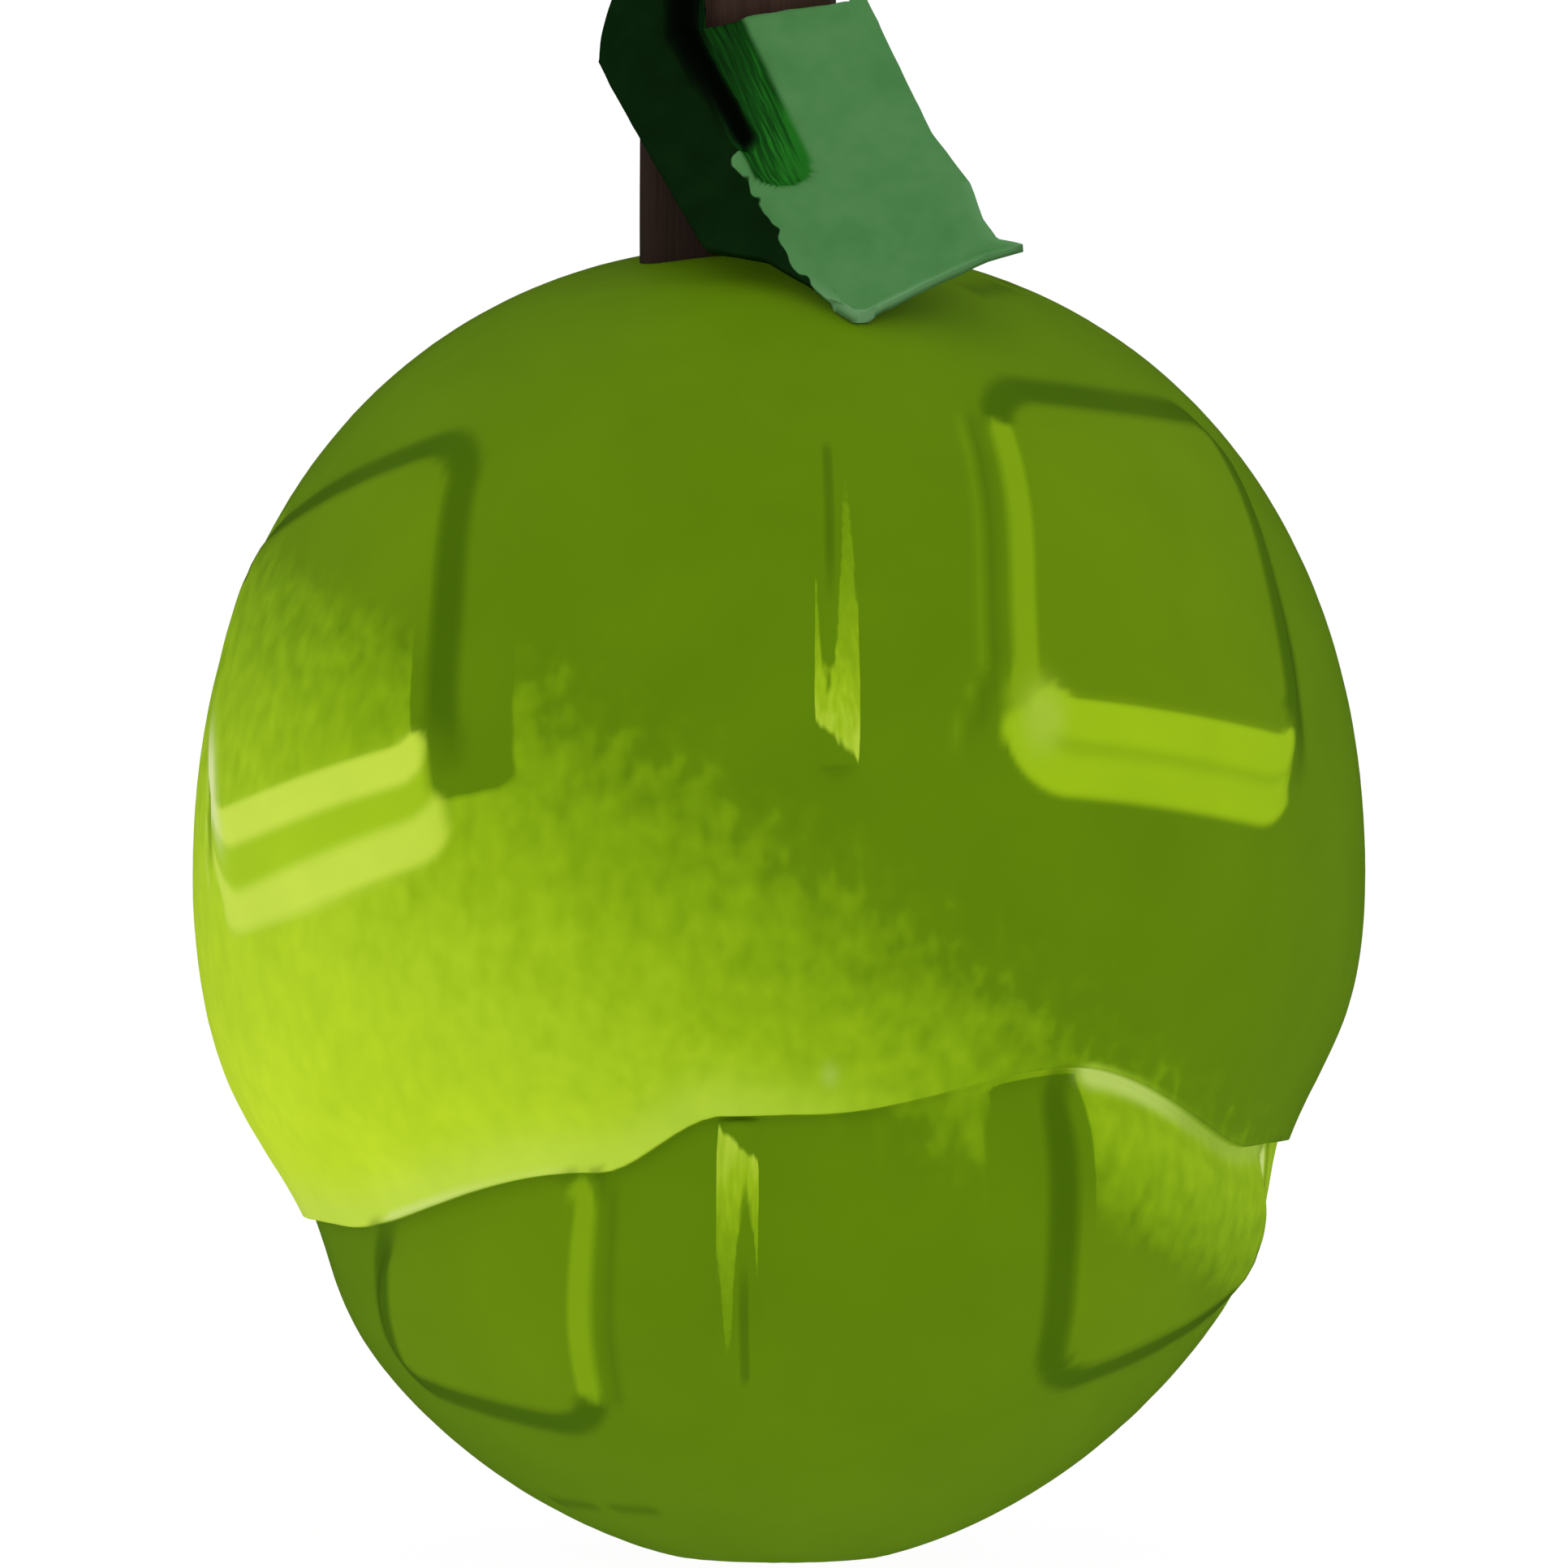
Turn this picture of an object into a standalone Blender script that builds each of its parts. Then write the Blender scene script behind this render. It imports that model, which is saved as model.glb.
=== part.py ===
"""A lime with its stem and one leaf, as picked, standing on a small flat spot.

Units are metres and +Z is up.  The origin is the centre of the flat spot that
the fruit stands on.  Bearings are in degrees round the fruit, counted from the
front (-Y) towards the right (+X).
"""

import math

import bmesh
import bpy
from mathutils import Vector

# Fruit: overall sizes
FRUIT_WIDTH = 0.0500  # across the widest level
LOWER_HEIGHT = 0.0286  # from the flat spot up to the widest level
UPPER_HEIGHT = 0.0273  # from the widest level up to the crown
UPPER_FULLNESS = 2.2  # superellipse exponent of the upper half; 2 is an ellipse
LOWER_FULLNESS = 1.9  # the same for the lower half, which is a little leaner
REST_RADIUS = 0.0050  # of the flat spot

# Fruit: the waist, a shallow valley with a small step, which runs round the lower half.
# Its line is given by bearings of the pattern and heights, as shares of LOWER_HEIGHT.
WAIST_LINE = (
    (-180.0, 0.594), (-75.0, 0.510), (-52.0, 0.521), (-17.0, 0.640), (-5.0, 0.731),
    (3.0, 0.734), (28.0, 0.794), (56.0, 0.640), (80.0, 0.622), (180.0, 0.594),
)
WAIST_DEPTH = 0.00115
WAIST_HALF_WIDTH = 0.0031
WAIST_STEP = 0.0005  # how far the surface just under the waist is set in
WAIST_STEP_FADE = 0.0040  # over which it comes out again
WAIST_STEP_HEIGHT = 0.0004  # of the step itself

# Fruit: raised panels, one ring above the waist and one below, each panel given by the
# bearing of its centre and the half angle of its raised face
UPPER_PANELS = ((38.3, 15.7), (129.7, 17.1), (-140.3, 17.1), (-49.7, 17.7))
LOWER_PANELS = ((-30.8, 11.3), (45.2, 17.1), (132.0, 17.1), (-138.0, 17.1))
PANEL_SIDE_ANGLE = 2.8  # of the slope at each side
PANEL_RISE = 0.0005
LEAN = 1.4  # degrees that the pattern leans outwards for each millimetre from the widest level

# Heights above the widest level, as shares of UPPER_HEIGHT
UPPER_PANEL_LIFT = 0.148  # of the faces' lower edge, at the left and right
UPPER_FRONT_LIFT = 0.234  # how much higher that is at the front and back
UPPER_RIGHT_LIFT = 0.047  # and at the right
UPPER_TOP_LIFT = 0.586  # of the faces' upper edge, in the same way
UPPER_TOP_FRONT_LIFT = 0.226
UPPER_TOP_RIGHT_LIFT = 0.141
UPPER_TOP_SLANT = -0.051  # how much that is lifted at the front right and the back left
UPPER_PANEL_END_SLOPE = 0.044  # height of the slope at the crown end
UPPER_PANEL_WAIST_SLOPE = 0.176  # height of the stepped slope at the waist end
TREAD_START = 0.4  # of the level tread in that slope, as a share of its height
TREAD_END = 0.6

# Heights above the flat spot, as shares of LOWER_HEIGHT
LOWER_PANEL_LIFT = 0.430
LOWER_FRONT_LIFT = -0.182
LOWER_RIGHT_LIFT = 0.049
LOWER_PANEL_END_SLOPE = 0.042
LOWER_PANEL_WAIST_SLOPE = 0.056

# Fruit: narrow ridges between the panels, each fading out away from the waist
UPPER_RIDGE_BEARING = 4.9  # centre of the first one, of two in each ring
LOWER_RIDGE_BEARING = -3.7
RIDGE_SPACING = 180.0
RIDGE_HALF_ANGLE = 2.1
RIDGE_RISE = 0.0005
RIDGE_FADE_SHORT = 0.0016  # how far short of the panels' far edge the ridges fade out
UPPER_RIDGE_START = 0.0015  # how far above the panels' foot the upper ones start

# Stem
STEM_WIDTH = 0.0083
STEM_DEPTH = 0.0064
STEM_HEIGHT = 0.0150  # above the crown
STEM_OFFSET = -0.00175  # of its centre from the fruit's axis, along X
STEM_SQUARENESS = 7.0  # superellipse exponent of its section
STEM_EDGE = 0.0004  # bevel round the cut end
FOOT_RING_SHARE = 0.5  # of the section, where the foot has an inner ring of points

# Leaf: folded on its midrib, hanging from the stem's front over the crown
LEAF_LENGTH = 0.0143  # from the foot of the midrib to the tip
LEAF_THICKNESS = 0.0007
LEAF_LEFT_WIDTH = 0.0055
LEAF_RIGHT_WIDTH = 0.0075
LEAF_LEFT_LOBE = 0.0052  # how far the left ear stands above the notch for the stem
LEAF_RIGHT_LOBE = 0.0030
LEAF_HANG_HEIGHT = 0.0087  # of the midrib's foot above the crown
LEAF_FOOT_OFFSET = 0.0009  # of the midrib's foot, left of the stem's centre
LEAF_BOW = 0.0006  # how far the midrib arches away from a straight line
LEAF_HANG = Vector((0.408, -0.476, -0.782)).normalized()  # along the midrib
LEAF_LEFT_RUN = Vector((-0.93, 0.12, -0.35)).normalized()  # across the left half
LEAF_RIGHT_RUN = Vector((0.99, 0.00, 0.14)).normalized()  # across the right half

# Shares of the midrib's length, and of each half's width there
LEAF_LEFT_SHAPE = ((0.0, 0.87), (0.59, 0.77), (0.69, 0.39), (0.83, 0.16), (1.0, 0.0))
LEAF_RIGHT_SHAPE = (
    (0.0, 0.93), (0.38, 0.93), (0.57, 1.0), (0.70, 0.97), (0.79, 1.0), (0.83, 0.90), (0.90, 0.50),
    (1.0, 0.0),
)

PIECE_GAP = 0.0003  # between neighbouring pieces

MILLIMETRE = 0.001
SLOPE_STEP = 0.00005  # over which the crown's slope is taken
LEAN_ROUNDS = 12  # of working back from a bearing to the pattern's
SAME_POINT = 0.00001  # mesh points nearer than this are one point
SHARP_ANGLE = 40.0  # at which two faces meet in a sharp edge
LEAF_SHARP_ANGLE = 60.0

# Fineness of the meshes
BEARING_STEP = 6.0
LINE_STEPS = (3, 1, 5, 1, 1, 6, 5, 6, 2, 6)  # rows between one line round the fruit and the next
STEM_SIDES = 32
LEAF_ROWS = 14
LEAF_COLUMNS = 5
LOBE_ROWS = 5

MATERIALS = {
    "lime_fruit": ((0.107, 0.209, 0.003), 0.42),
    "stem": ((0.033, 0.017, 0.011), 0.80),
    "leaf": ((0.069, 0.212, 0.065), 0.55),
}


def clear_scene():
    """Removes every object of the open scene."""
    for item in list(bpy.data.objects):
        bpy.data.objects.remove(item, do_unlink=True)


def finish_mesh(name, bm, sharp_angle):
    """Turns a bmesh into the named object, with its own material and smooth shading."""
    bmesh.ops.recalc_face_normals(bm, faces=bm.faces)
    mesh = bpy.data.meshes.new(name)
    bm.to_mesh(mesh)
    bm.free()
    mesh.shade_smooth()
    mesh.set_sharp_from_angle(angle=math.radians(sharp_angle))
    item = bpy.data.objects.new(name, mesh)
    bpy.context.scene.collection.objects.link(item)
    colour, roughness = MATERIALS[name]
    material = bpy.data.materials.new(name)
    material.use_nodes = True
    shader = material.node_tree.nodes["Principled BSDF"]
    shader.inputs["Base Color"].default_value = (*colour, 1.0)
    shader.inputs["Roughness"].default_value = roughness
    shader.inputs["Metallic"].default_value = 0.0
    mesh.materials.append(material)
    return item


def spread(marks, longest):
    """The marks in order, with even steps no longer than the given one between them."""
    marks = sorted(set(marks))
    found = []
    for low, high in zip(marks, marks[1:]):
        steps = max(1, math.ceil((high - low) / longest))
        found += [low + (high - low) * i / steps for i in range(steps)]
    return found + [marks[-1]]


def plateau(value, low_foot, low_edge, high_edge, high_foot):
    """0 outside the feet, 1 between the edges, and straight slopes between them."""
    rising = (value - low_foot) / (low_edge - low_foot)
    falling = (high_foot - value) / (high_foot - high_edge)
    return max(0.0, min(1.0, rising, falling))


def turned_off(bearing, centre):
    """Degrees from a centre line to a bearing, the short way round."""
    return abs((bearing - centre + 180.0) % 360.0 - 180.0)


# The fruit's outline --------------------------------------------------------

def lower_reach():
    """Height of the whole lower half, before the flat spot cuts it."""
    share = 1.0 - (REST_RADIUS / (FRUIT_WIDTH / 2)) ** LOWER_FULLNESS
    return LOWER_HEIGHT / share ** (1 / LOWER_FULLNESS)


def plain_radius(height):
    """Radius of the fruit at a height, without its waist and its relief."""
    above = height - LOWER_HEIGHT
    reach, fullness = UPPER_HEIGHT, UPPER_FULLNESS
    if above < 0:
        reach, fullness = lower_reach(), LOWER_FULLNESS
    share = max(0.0, 1.0 - (abs(above) / reach) ** fullness)
    return FRUIT_WIDTH / 2 * share ** (1 / fullness)


def crown_height(distance):
    """Height of the upper surface at a distance from the fruit's axis."""
    share = max(0.0, 1.0 - (distance / (FRUIT_WIDTH / 2)) ** UPPER_FULLNESS)
    return LOWER_HEIGHT + UPPER_HEIGHT * share ** (1 / UPPER_FULLNESS)


# The lines round the fruit, each a height at a bearing -----------------------

def swing(bearing, sides, front_lift, right_lift):
    """A share that is given for the sides, and lifted at the front, the back and the right."""
    turn = math.radians(bearing)
    return sides + front_lift * math.cos(turn) ** 2 + right_lift * math.sin(turn)


def waist_line(bearing):
    """Height of the waist, eased from each of its places to the next."""
    bearing = (bearing + 180.0) % 360.0 - 180.0
    for (start, low), (end, high) in zip(WAIST_LINE, WAIST_LINE[1:]):
        if bearing <= end:
            share = (bearing - start) / (end - start)
            return LOWER_HEIGHT * (low + (high - low) * share * share * (3 - 2 * share))
    return LOWER_HEIGHT * WAIST_LINE[-1][1]


def upper_lines(bearing):
    """Heights of the upper panels' foot, lower edge, upper edge and top foot."""
    low = swing(bearing, UPPER_PANEL_LIFT, UPPER_FRONT_LIFT, UPPER_RIGHT_LIFT)
    high = swing(bearing, UPPER_TOP_LIFT, UPPER_TOP_FRONT_LIFT, UPPER_TOP_RIGHT_LIFT)
    high += UPPER_TOP_SLANT * math.sin(math.radians(2 * bearing))
    shares = (low - UPPER_PANEL_WAIST_SLOPE, low, high, high + UPPER_PANEL_END_SLOPE)
    return tuple(LOWER_HEIGHT + UPPER_HEIGHT * share for share in shares)


def lower_lines(bearing):
    """The same for the lower panels, which end just under the waist."""
    low = LOWER_HEIGHT * swing(bearing, LOWER_PANEL_LIFT, LOWER_FRONT_LIFT, LOWER_RIGHT_LIFT)
    high = waist_line(bearing) - WAIST_STEP_HEIGHT
    low_foot = low - LOWER_HEIGHT * LOWER_PANEL_END_SLOPE
    return low_foot, low, high - LOWER_HEIGHT * LOWER_PANEL_WAIST_SLOPE, high


def stepped(share):
    """A straight slope turned into two slopes with a level tread between them."""
    lower = min(share, TREAD_START) / TREAD_START
    upper = max(0.0, share - TREAD_END) / (1.0 - TREAD_END)
    return (lower + upper) / 2


def panel_lift(bearing, panels, along):
    """How far a ring of panels lifts the surface, given its share along the panels."""
    lift = 0.0
    for centre, half in panels:
        off = turned_off(bearing, centre)
        across = (half + PANEL_SIDE_ANGLE - off) / PANEL_SIDE_ANGLE
        lift = max(lift, PANEL_RISE * min(along, across))
    return lift


def ridge_lift(bearing, height, first, start, end):
    """How far a ring of ridges lifts it: most at their start, and nothing at their end."""
    along = (height - end) / (start - end)
    off = abs((bearing - first + RIDGE_SPACING / 2) % RIDGE_SPACING - RIDGE_SPACING / 2)
    across = 1.0 - off / RIDGE_HALF_ANGLE
    return RIDGE_RISE * max(0.0, min(along, across)) if along <= 1.0 else 0.0


def relief(bearing, height):
    """How far the panels and the ridges lift the surface at a place of the pattern."""
    upper, lower = upper_lines(bearing), lower_lines(bearing)
    along = plateau(height, *upper)
    if height < upper[1]:
        along = stepped(along)
    return max(
        panel_lift(bearing, UPPER_PANELS, along),
        panel_lift(bearing, LOWER_PANELS, plateau(height, *lower)),
        ridge_lift(
            bearing, height, UPPER_RIDGE_BEARING,
            upper[0] + UPPER_RIDGE_START, upper[2] - RIDGE_FADE_SHORT,
        ),
        ridge_lift(bearing, height, LOWER_RIDGE_BEARING, lower[3], lower[1] + RIDGE_FADE_SHORT),
    )


def lean(bearing, height):
    """Degrees that a line of the pattern leans outwards, away from the front and the back."""
    return LEAN * abs(height - LOWER_HEIGHT) / MILLIMETRE * math.sin(math.radians(bearing))


def pattern_bearing(place):
    """The pattern's bearing at a place, which is its own bearing without the lean."""
    turn = math.degrees(math.atan2(place.x, -place.y))
    bearing = turn
    for _ in range(LEAN_ROUNDS):
        bearing = turn - lean(bearing, place.z)
    return bearing


def fruit_point(bearing, height):
    """The place on the fruit's surface at a pattern bearing and a height."""
    above_waist = height - waist_line(bearing)
    valley = WAIST_DEPTH * math.exp(-((above_waist / WAIST_HALF_WIDTH) ** 2) / 2)
    set_in = 0.0
    if above_waist < -WAIST_STEP_HEIGHT / 2:
        set_in = WAIST_STEP * math.exp(above_waist / WAIST_STEP_FADE)
    plain = plain_radius(height)
    # Nothing lifts or sinks the surface at the flat spot and at the crown.
    fade = min(1.0, max(0.0, plain / REST_RADIUS - 1.0))
    radius = plain + fade * (relief(bearing, height) - valley - set_in)
    turn = math.radians(bearing + lean(bearing, height))
    return Vector((radius * math.sin(turn), -radius * math.cos(turn), height))


def level_angle(height):
    """The angle above or below the widest level that stands for a height."""
    above = height - LOWER_HEIGHT
    reach = UPPER_HEIGHT if above > 0 else lower_reach()
    return math.asin(max(-1.0, min(1.0, above / reach)))


def level_height(angle):
    """The height that an angle stands for: level_angle the other way round."""
    return LOWER_HEIGHT + math.sin(angle) * (UPPER_HEIGHT if angle > 0 else lower_reach())


def column_heights(bearing):
    """Heights of the fruit's mesh points at one bearing, from the flat spot to the crown."""
    waist = waist_line(bearing)
    crown = LOWER_HEIGHT + UPPER_HEIGHT
    lines = [0.0, *lower_lines(bearing), waist, *upper_lines(bearing), crown]
    angles = [level_angle(line) for line in lines]
    heights = []
    for low, high, steps in zip(angles, angles[1:], LINE_STEPS):
        heights += [level_height(low + (high - low) * i / steps) for i in range(steps)]
    return [0.0] + heights[1:]


def build_fruit():
    """The fruit: one closed body with its waist, panels, ridges and flat spot."""
    marks = []
    for centre, half in UPPER_PANELS + LOWER_PANELS:
        foot = half + PANEL_SIDE_ANGLE
        marks += [centre + off for off in (-foot, -half, half, foot)]
    for first in (UPPER_RIDGE_BEARING, LOWER_RIDGE_BEARING):
        for i in range(round(360.0 / RIDGE_SPACING)):
            centre = first + RIDGE_SPACING * i
            marks += [centre + off for off in (-RIDGE_HALF_ANGLE, 0.0, RIDGE_HALF_ANGLE)]
    turned = [round(mark % 360.0, 3) for mark in marks]
    bearings = spread([0.0, *turned, 360.0], BEARING_STEP)[:-1]

    bm = bmesh.new()
    columns = [[bm.verts.new(fruit_point(b, h)) for h in column_heights(b)] for b in bearings]
    crown = bm.verts.new((0.0, 0.0, LOWER_HEIGHT + UPPER_HEIGHT))
    for here, there in zip(columns, columns[1:] + columns[:1]):
        for i in range(len(here) - 1):
            bm.faces.new((here[i], there[i], there[i + 1], here[i + 1]))
        bm.faces.new((here[-1], there[-1], crown))
    bm.faces.new([column[0] for column in columns])
    return finish_mesh("lime_fruit", bm, SHARP_ANGLE)


# The stem -------------------------------------------------------------------

def stem_section(share):
    """Points of the stem's boxy section, as a share of its full size."""
    points = []
    for i in range(STEM_SIDES):
        turn = 2 * math.pi * i / STEM_SIDES
        x, y = math.cos(turn), math.sin(turn)
        size = (abs(x) ** STEM_SQUARENESS + abs(y) ** STEM_SQUARENESS) ** (-1 / STEM_SQUARENESS)
        size *= share / 2
        points.append((STEM_OFFSET + STEM_WIDTH * x * size, STEM_DEPTH * y * size))
    return points


def build_stem():
    """The stem: a boxy post whose foot follows the crown, with a plain cut end."""
    bm = bmesh.new()
    rings = []
    for share in (FOOT_RING_SHARE, 1.0):
        foot = [(x, y, crown_height(math.hypot(x, y)) + PIECE_GAP) for x, y in stem_section(share)]
        rings.append([bm.verts.new(place) for place in foot])
    top = LOWER_HEIGHT + UPPER_HEIGHT + STEM_HEIGHT
    narrowed = 1.0 - 2 * STEM_EDGE / min(STEM_WIDTH, STEM_DEPTH)
    for share, height in ((1.0, top - STEM_EDGE), (narrowed, top)):
        rings.append([bm.verts.new((x, y, height)) for x, y in stem_section(share)])
    for below, above in zip(rings, rings[1:]):
        for i in range(STEM_SIDES):
            j = (i + 1) % STEM_SIDES
            bm.faces.new((below[i], below[j], above[j], above[i]))
    middle = bm.verts.new((STEM_OFFSET, 0.0, crown_height(abs(STEM_OFFSET)) + PIECE_GAP))
    for i in range(STEM_SIDES):
        bm.faces.new((rings[0][(i + 1) % STEM_SIDES], rings[0][i], middle))
    bm.faces.new(rings[-1])
    return finish_mesh("stem", bm, SHARP_ANGLE)


# The leaf -------------------------------------------------------------------

def shape_share(shape, along):
    """Reads a half's width, as a share, between the stations of its shape."""
    along = max(0.0, along)
    for (start, low), (end, high) in zip(shape, shape[1:]):
        if along <= end:
            return low + (high - low) * (along - start) / (end - start)
    return 0.0


def drape(point):
    """Lifts a point of the leaf's mid-surface clear of the crown."""
    distance = math.hypot(point.x, point.y)
    if distance >= FRUIT_WIDTH / 2:
        return point
    height = crown_height(distance)
    slope = (crown_height(distance + SLOPE_STEP) - height) / SLOPE_STEP
    surface = Vector((point.x, point.y, height))
    clear = PIECE_GAP + LEAF_THICKNESS / 2 + relief(pattern_bearing(surface), height)
    return Vector((point.x, point.y, max(point.z, height + clear * math.hypot(1.0, slope))))


def notch_share():
    """Where, along the midrib, the blade's upper edge meets the stem's front."""
    foot = midrib_foot()
    front = -STEM_DEPTH / 2 - PIECE_GAP - LEAF_THICKNESS
    return (front - foot.y) / (LEAF_LENGTH * LEAF_HANG.y)


def midrib_foot():
    """The foot of the midrib, a little in front of the stem."""
    ahead = PIECE_GAP + LEAF_THICKNESS + LEAF_BOW
    height = LOWER_HEIGHT + UPPER_HEIGHT + LEAF_HANG_HEIGHT
    return Vector((STEM_OFFSET - LEAF_FOOT_OFFSET, -STEM_DEPTH / 2 - ahead, height))


def midrib(along):
    """The place on the midrib at a share of its length; below 0 it runs on past its foot."""
    bow = LEAF_RIGHT_RUN.cross(LEAF_HANG).normalized() * LEAF_BOW * 4 * along * (1 - along)
    straight = midrib_foot() + LEAF_HANG * LEAF_LENGTH * along
    return straight + bow if 0 < along < 1 else straight


def build_leaf():
    """The leaf: two halves that meet at the midrib, with an ear each side of the stem."""
    bm = bmesh.new()

    def patch(rows):
        grid = [[bm.verts.new(drape(point)) for point in row] for row in rows]
        for upper, lower in zip(grid, grid[1:]):
            for i in range(len(upper) - 1):
                bm.faces.new((upper[i], upper[i + 1], lower[i + 1], lower[i]))

    def across(start, run, near, far):
        shares = [i / LEAF_COLUMNS for i in range(LEAF_COLUMNS + 1)]
        return [start + run * (near + (far - near) * share) for share in shares]

    notch = notch_share()
    stations = [notch] + [share for share, _ in LEAF_RIGHT_SHAPE + LEAF_LEFT_SHAPE]
    stations = spread(stations, 1 / LEAF_ROWS)
    left_width = LEAF_LEFT_WIDTH * LEAF_LEFT_SHAPE[0][1]
    right_width = LEAF_RIGHT_WIDTH * LEAF_RIGHT_SHAPE[0][1]
    # The right ear starts just past the stem's right side.
    stem_right = STEM_OFFSET + STEM_WIDTH / 2 + PIECE_GAP + LEAF_THICKNESS / 2
    ear_start = (stem_right - midrib(notch).x) / LEAF_RIGHT_RUN.x
    right_width = max(right_width, ear_start + LEAF_THICKNESS)
    ear_share = ear_start / right_width

    left, right_inner, right_outer = [], [], []
    for along in stations:
        start = midrib(along)
        reach = LEAF_LEFT_WIDTH * shape_share(LEAF_LEFT_SHAPE, along)
        left.append(across(start, LEAF_LEFT_RUN, 0.0, reach))
        reach = LEAF_RIGHT_WIDTH * shape_share(LEAF_RIGHT_SHAPE, along)
        if along <= 0:
            reach = right_width
        right_inner.append(across(start, LEAF_RIGHT_RUN, 0.0, reach * ear_share))
        right_outer.append(across(start, LEAF_RIGHT_RUN, reach * ear_share, reach))
    patch(left)
    patch(right_inner)
    patch(right_outer)

    # The left ear stands straight up in front of the stem and closes in a round end.
    ear = []
    for i in range(LOBE_ROWS + 1):
        turn = math.pi / 2 * i / LOBE_ROWS
        start = midrib(notch) + Vector((0.0, 0.0, LEAF_LEFT_LOBE * math.sin(turn)))
        inner = left_width / 3 * (1 - math.cos(turn))
        ear.append(across(start, LEAF_LEFT_RUN, inner, inner + (left_width - inner) * math.cos(turn)))
    patch(ear)

    # The right ear runs up and back past the stem's side.
    ear = []
    for i in range(LOBE_ROWS + 1):
        up = i / LOBE_ROWS
        start = midrib(notch) - LEAF_HANG * LEAF_RIGHT_LOBE * up
        near = (stem_right - start.x) / LEAF_RIGHT_RUN.x
        ear.append(across(start, LEAF_RIGHT_RUN, near, near + (right_width - ear_start) * (1 - up * up)))
    patch(ear)

    bmesh.ops.remove_doubles(bm, verts=bm.verts, dist=SAME_POINT)
    item = finish_mesh("leaf", bm, LEAF_SHARP_ANGLE)
    wall = item.modifiers.new("thickness", "SOLIDIFY")
    wall.thickness = LEAF_THICKNESS
    wall.offset = 0.0
    wall.use_even_offset = True
    return item


def main():
    """Builds the lime."""
    clear_scene()
    build_fruit()
    build_stem()
    build_leaf()


main()
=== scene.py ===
"""A lime with its boxy stem and one folded leaf, standing on a small flat spot.

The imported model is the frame.  Each of its three pieces is made again here with a
fine surface and a finish of its own.  Units are metres and +Z is up.  Bearings are in
degrees round the fruit, counted from the front (-Y) towards the right (+X).
"""

import logging
import math
from collections.abc import Iterable, Sequence
from dataclasses import dataclass, field, replace
from enum import Enum

import bmesh
import bpy
import numpy as np
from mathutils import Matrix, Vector
from numpy.typing import NDArray


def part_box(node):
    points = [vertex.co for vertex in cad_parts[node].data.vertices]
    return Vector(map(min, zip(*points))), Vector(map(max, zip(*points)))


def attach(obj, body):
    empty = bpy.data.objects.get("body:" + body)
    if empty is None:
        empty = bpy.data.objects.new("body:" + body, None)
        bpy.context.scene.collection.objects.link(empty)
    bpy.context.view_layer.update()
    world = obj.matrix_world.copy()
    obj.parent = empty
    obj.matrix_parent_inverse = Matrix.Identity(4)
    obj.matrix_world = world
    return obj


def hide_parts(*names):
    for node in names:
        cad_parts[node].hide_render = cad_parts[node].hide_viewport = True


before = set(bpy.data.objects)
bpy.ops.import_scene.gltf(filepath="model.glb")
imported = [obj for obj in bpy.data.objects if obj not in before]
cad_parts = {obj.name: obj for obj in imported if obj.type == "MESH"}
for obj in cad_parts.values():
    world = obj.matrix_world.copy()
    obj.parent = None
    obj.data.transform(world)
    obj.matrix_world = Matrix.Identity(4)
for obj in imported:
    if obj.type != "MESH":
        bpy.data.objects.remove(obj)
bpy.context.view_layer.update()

Reals = NDArray[np.float64]
Socket = bpy.types.NodeSocket
Tree = bpy.types.NodeTree
Node = bpy.types.Node
Stops = tuple[tuple[float, str], ...]
Triple = tuple[float, float, float]
Pairs = tuple[tuple[float, float], ...]

BODY = "root"
MILLIMETRE = 0.001
log = logging.getLogger("lime")


# Colours and node trees -------------------------------------------------------


def linear(colour: str) -> tuple[float, float, float, float]:
    """Turns an sRGB hex colour into linear light.

    Args:
        colour: Six hex digits after a hash sign.

    Returns:
        Red, green, blue and an alpha of one.
    """
    parts = [int(colour[i : i + 2], 16) / 255 for i in (1, 3, 5)]
    light = [c / 12.92 if c <= 0.04045 else ((c + 0.055) / 1.055) ** 2.4 for c in parts]
    return (light[0], light[1], light[2], 1.0)


def add(
    tree: Tree,
    kind: str,
    settings: dict[str, object] | None = None,
    links: dict[str | int, object] | None = None,
) -> Node:
    """Adds one node with its settings, its input values and its links.

    Args:
        tree: The node tree that takes the node.
        kind: The node's type name.
        settings: Attributes of the node and their values.
        links: For each input, by name or place, a socket to link or a value to set.

    Returns:
        The new node.
    """
    node = tree.nodes.new(kind)
    for name, value in (settings or {}).items():
        setattr(node, name, value)
    for place, value in (links or {}).items():
        if isinstance(value, Socket):
            tree.links.new(value, node.inputs[place])
        else:
            node.inputs[place].default_value = value
    return node


class Blend(Enum):
    """How one tone is laid over another."""

    COVER = "MIX"
    DARKEN = "MULTIPLY"


@dataclass(frozen=True)
class Grain:
    """Fine unevenness of a real size, from 0 to 1 and about 0.5.

    One speck is as wide as across, in metres, and longer by the stretch along each axis.
    """

    name: str
    across: float
    stretch: Triple = (1.0, 1.0, 1.0)
    detail: float = 2.0


@dataclass(frozen=True)
class Layer:
    """One tone over the tones below it.

    Its colours follow one value, and it covers smoothly where another value, its mask,
    goes from one edge value to the other.  A grain can shift both values.
    """

    follows: str
    stops: Stops
    mask: str = ""
    edge: tuple[float, float] = (0.0, 1.0)
    grain: str = ""
    tone_shift: float = 0.0
    mask_shift: float = 0.0
    blend: Blend = Blend.COVER


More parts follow.
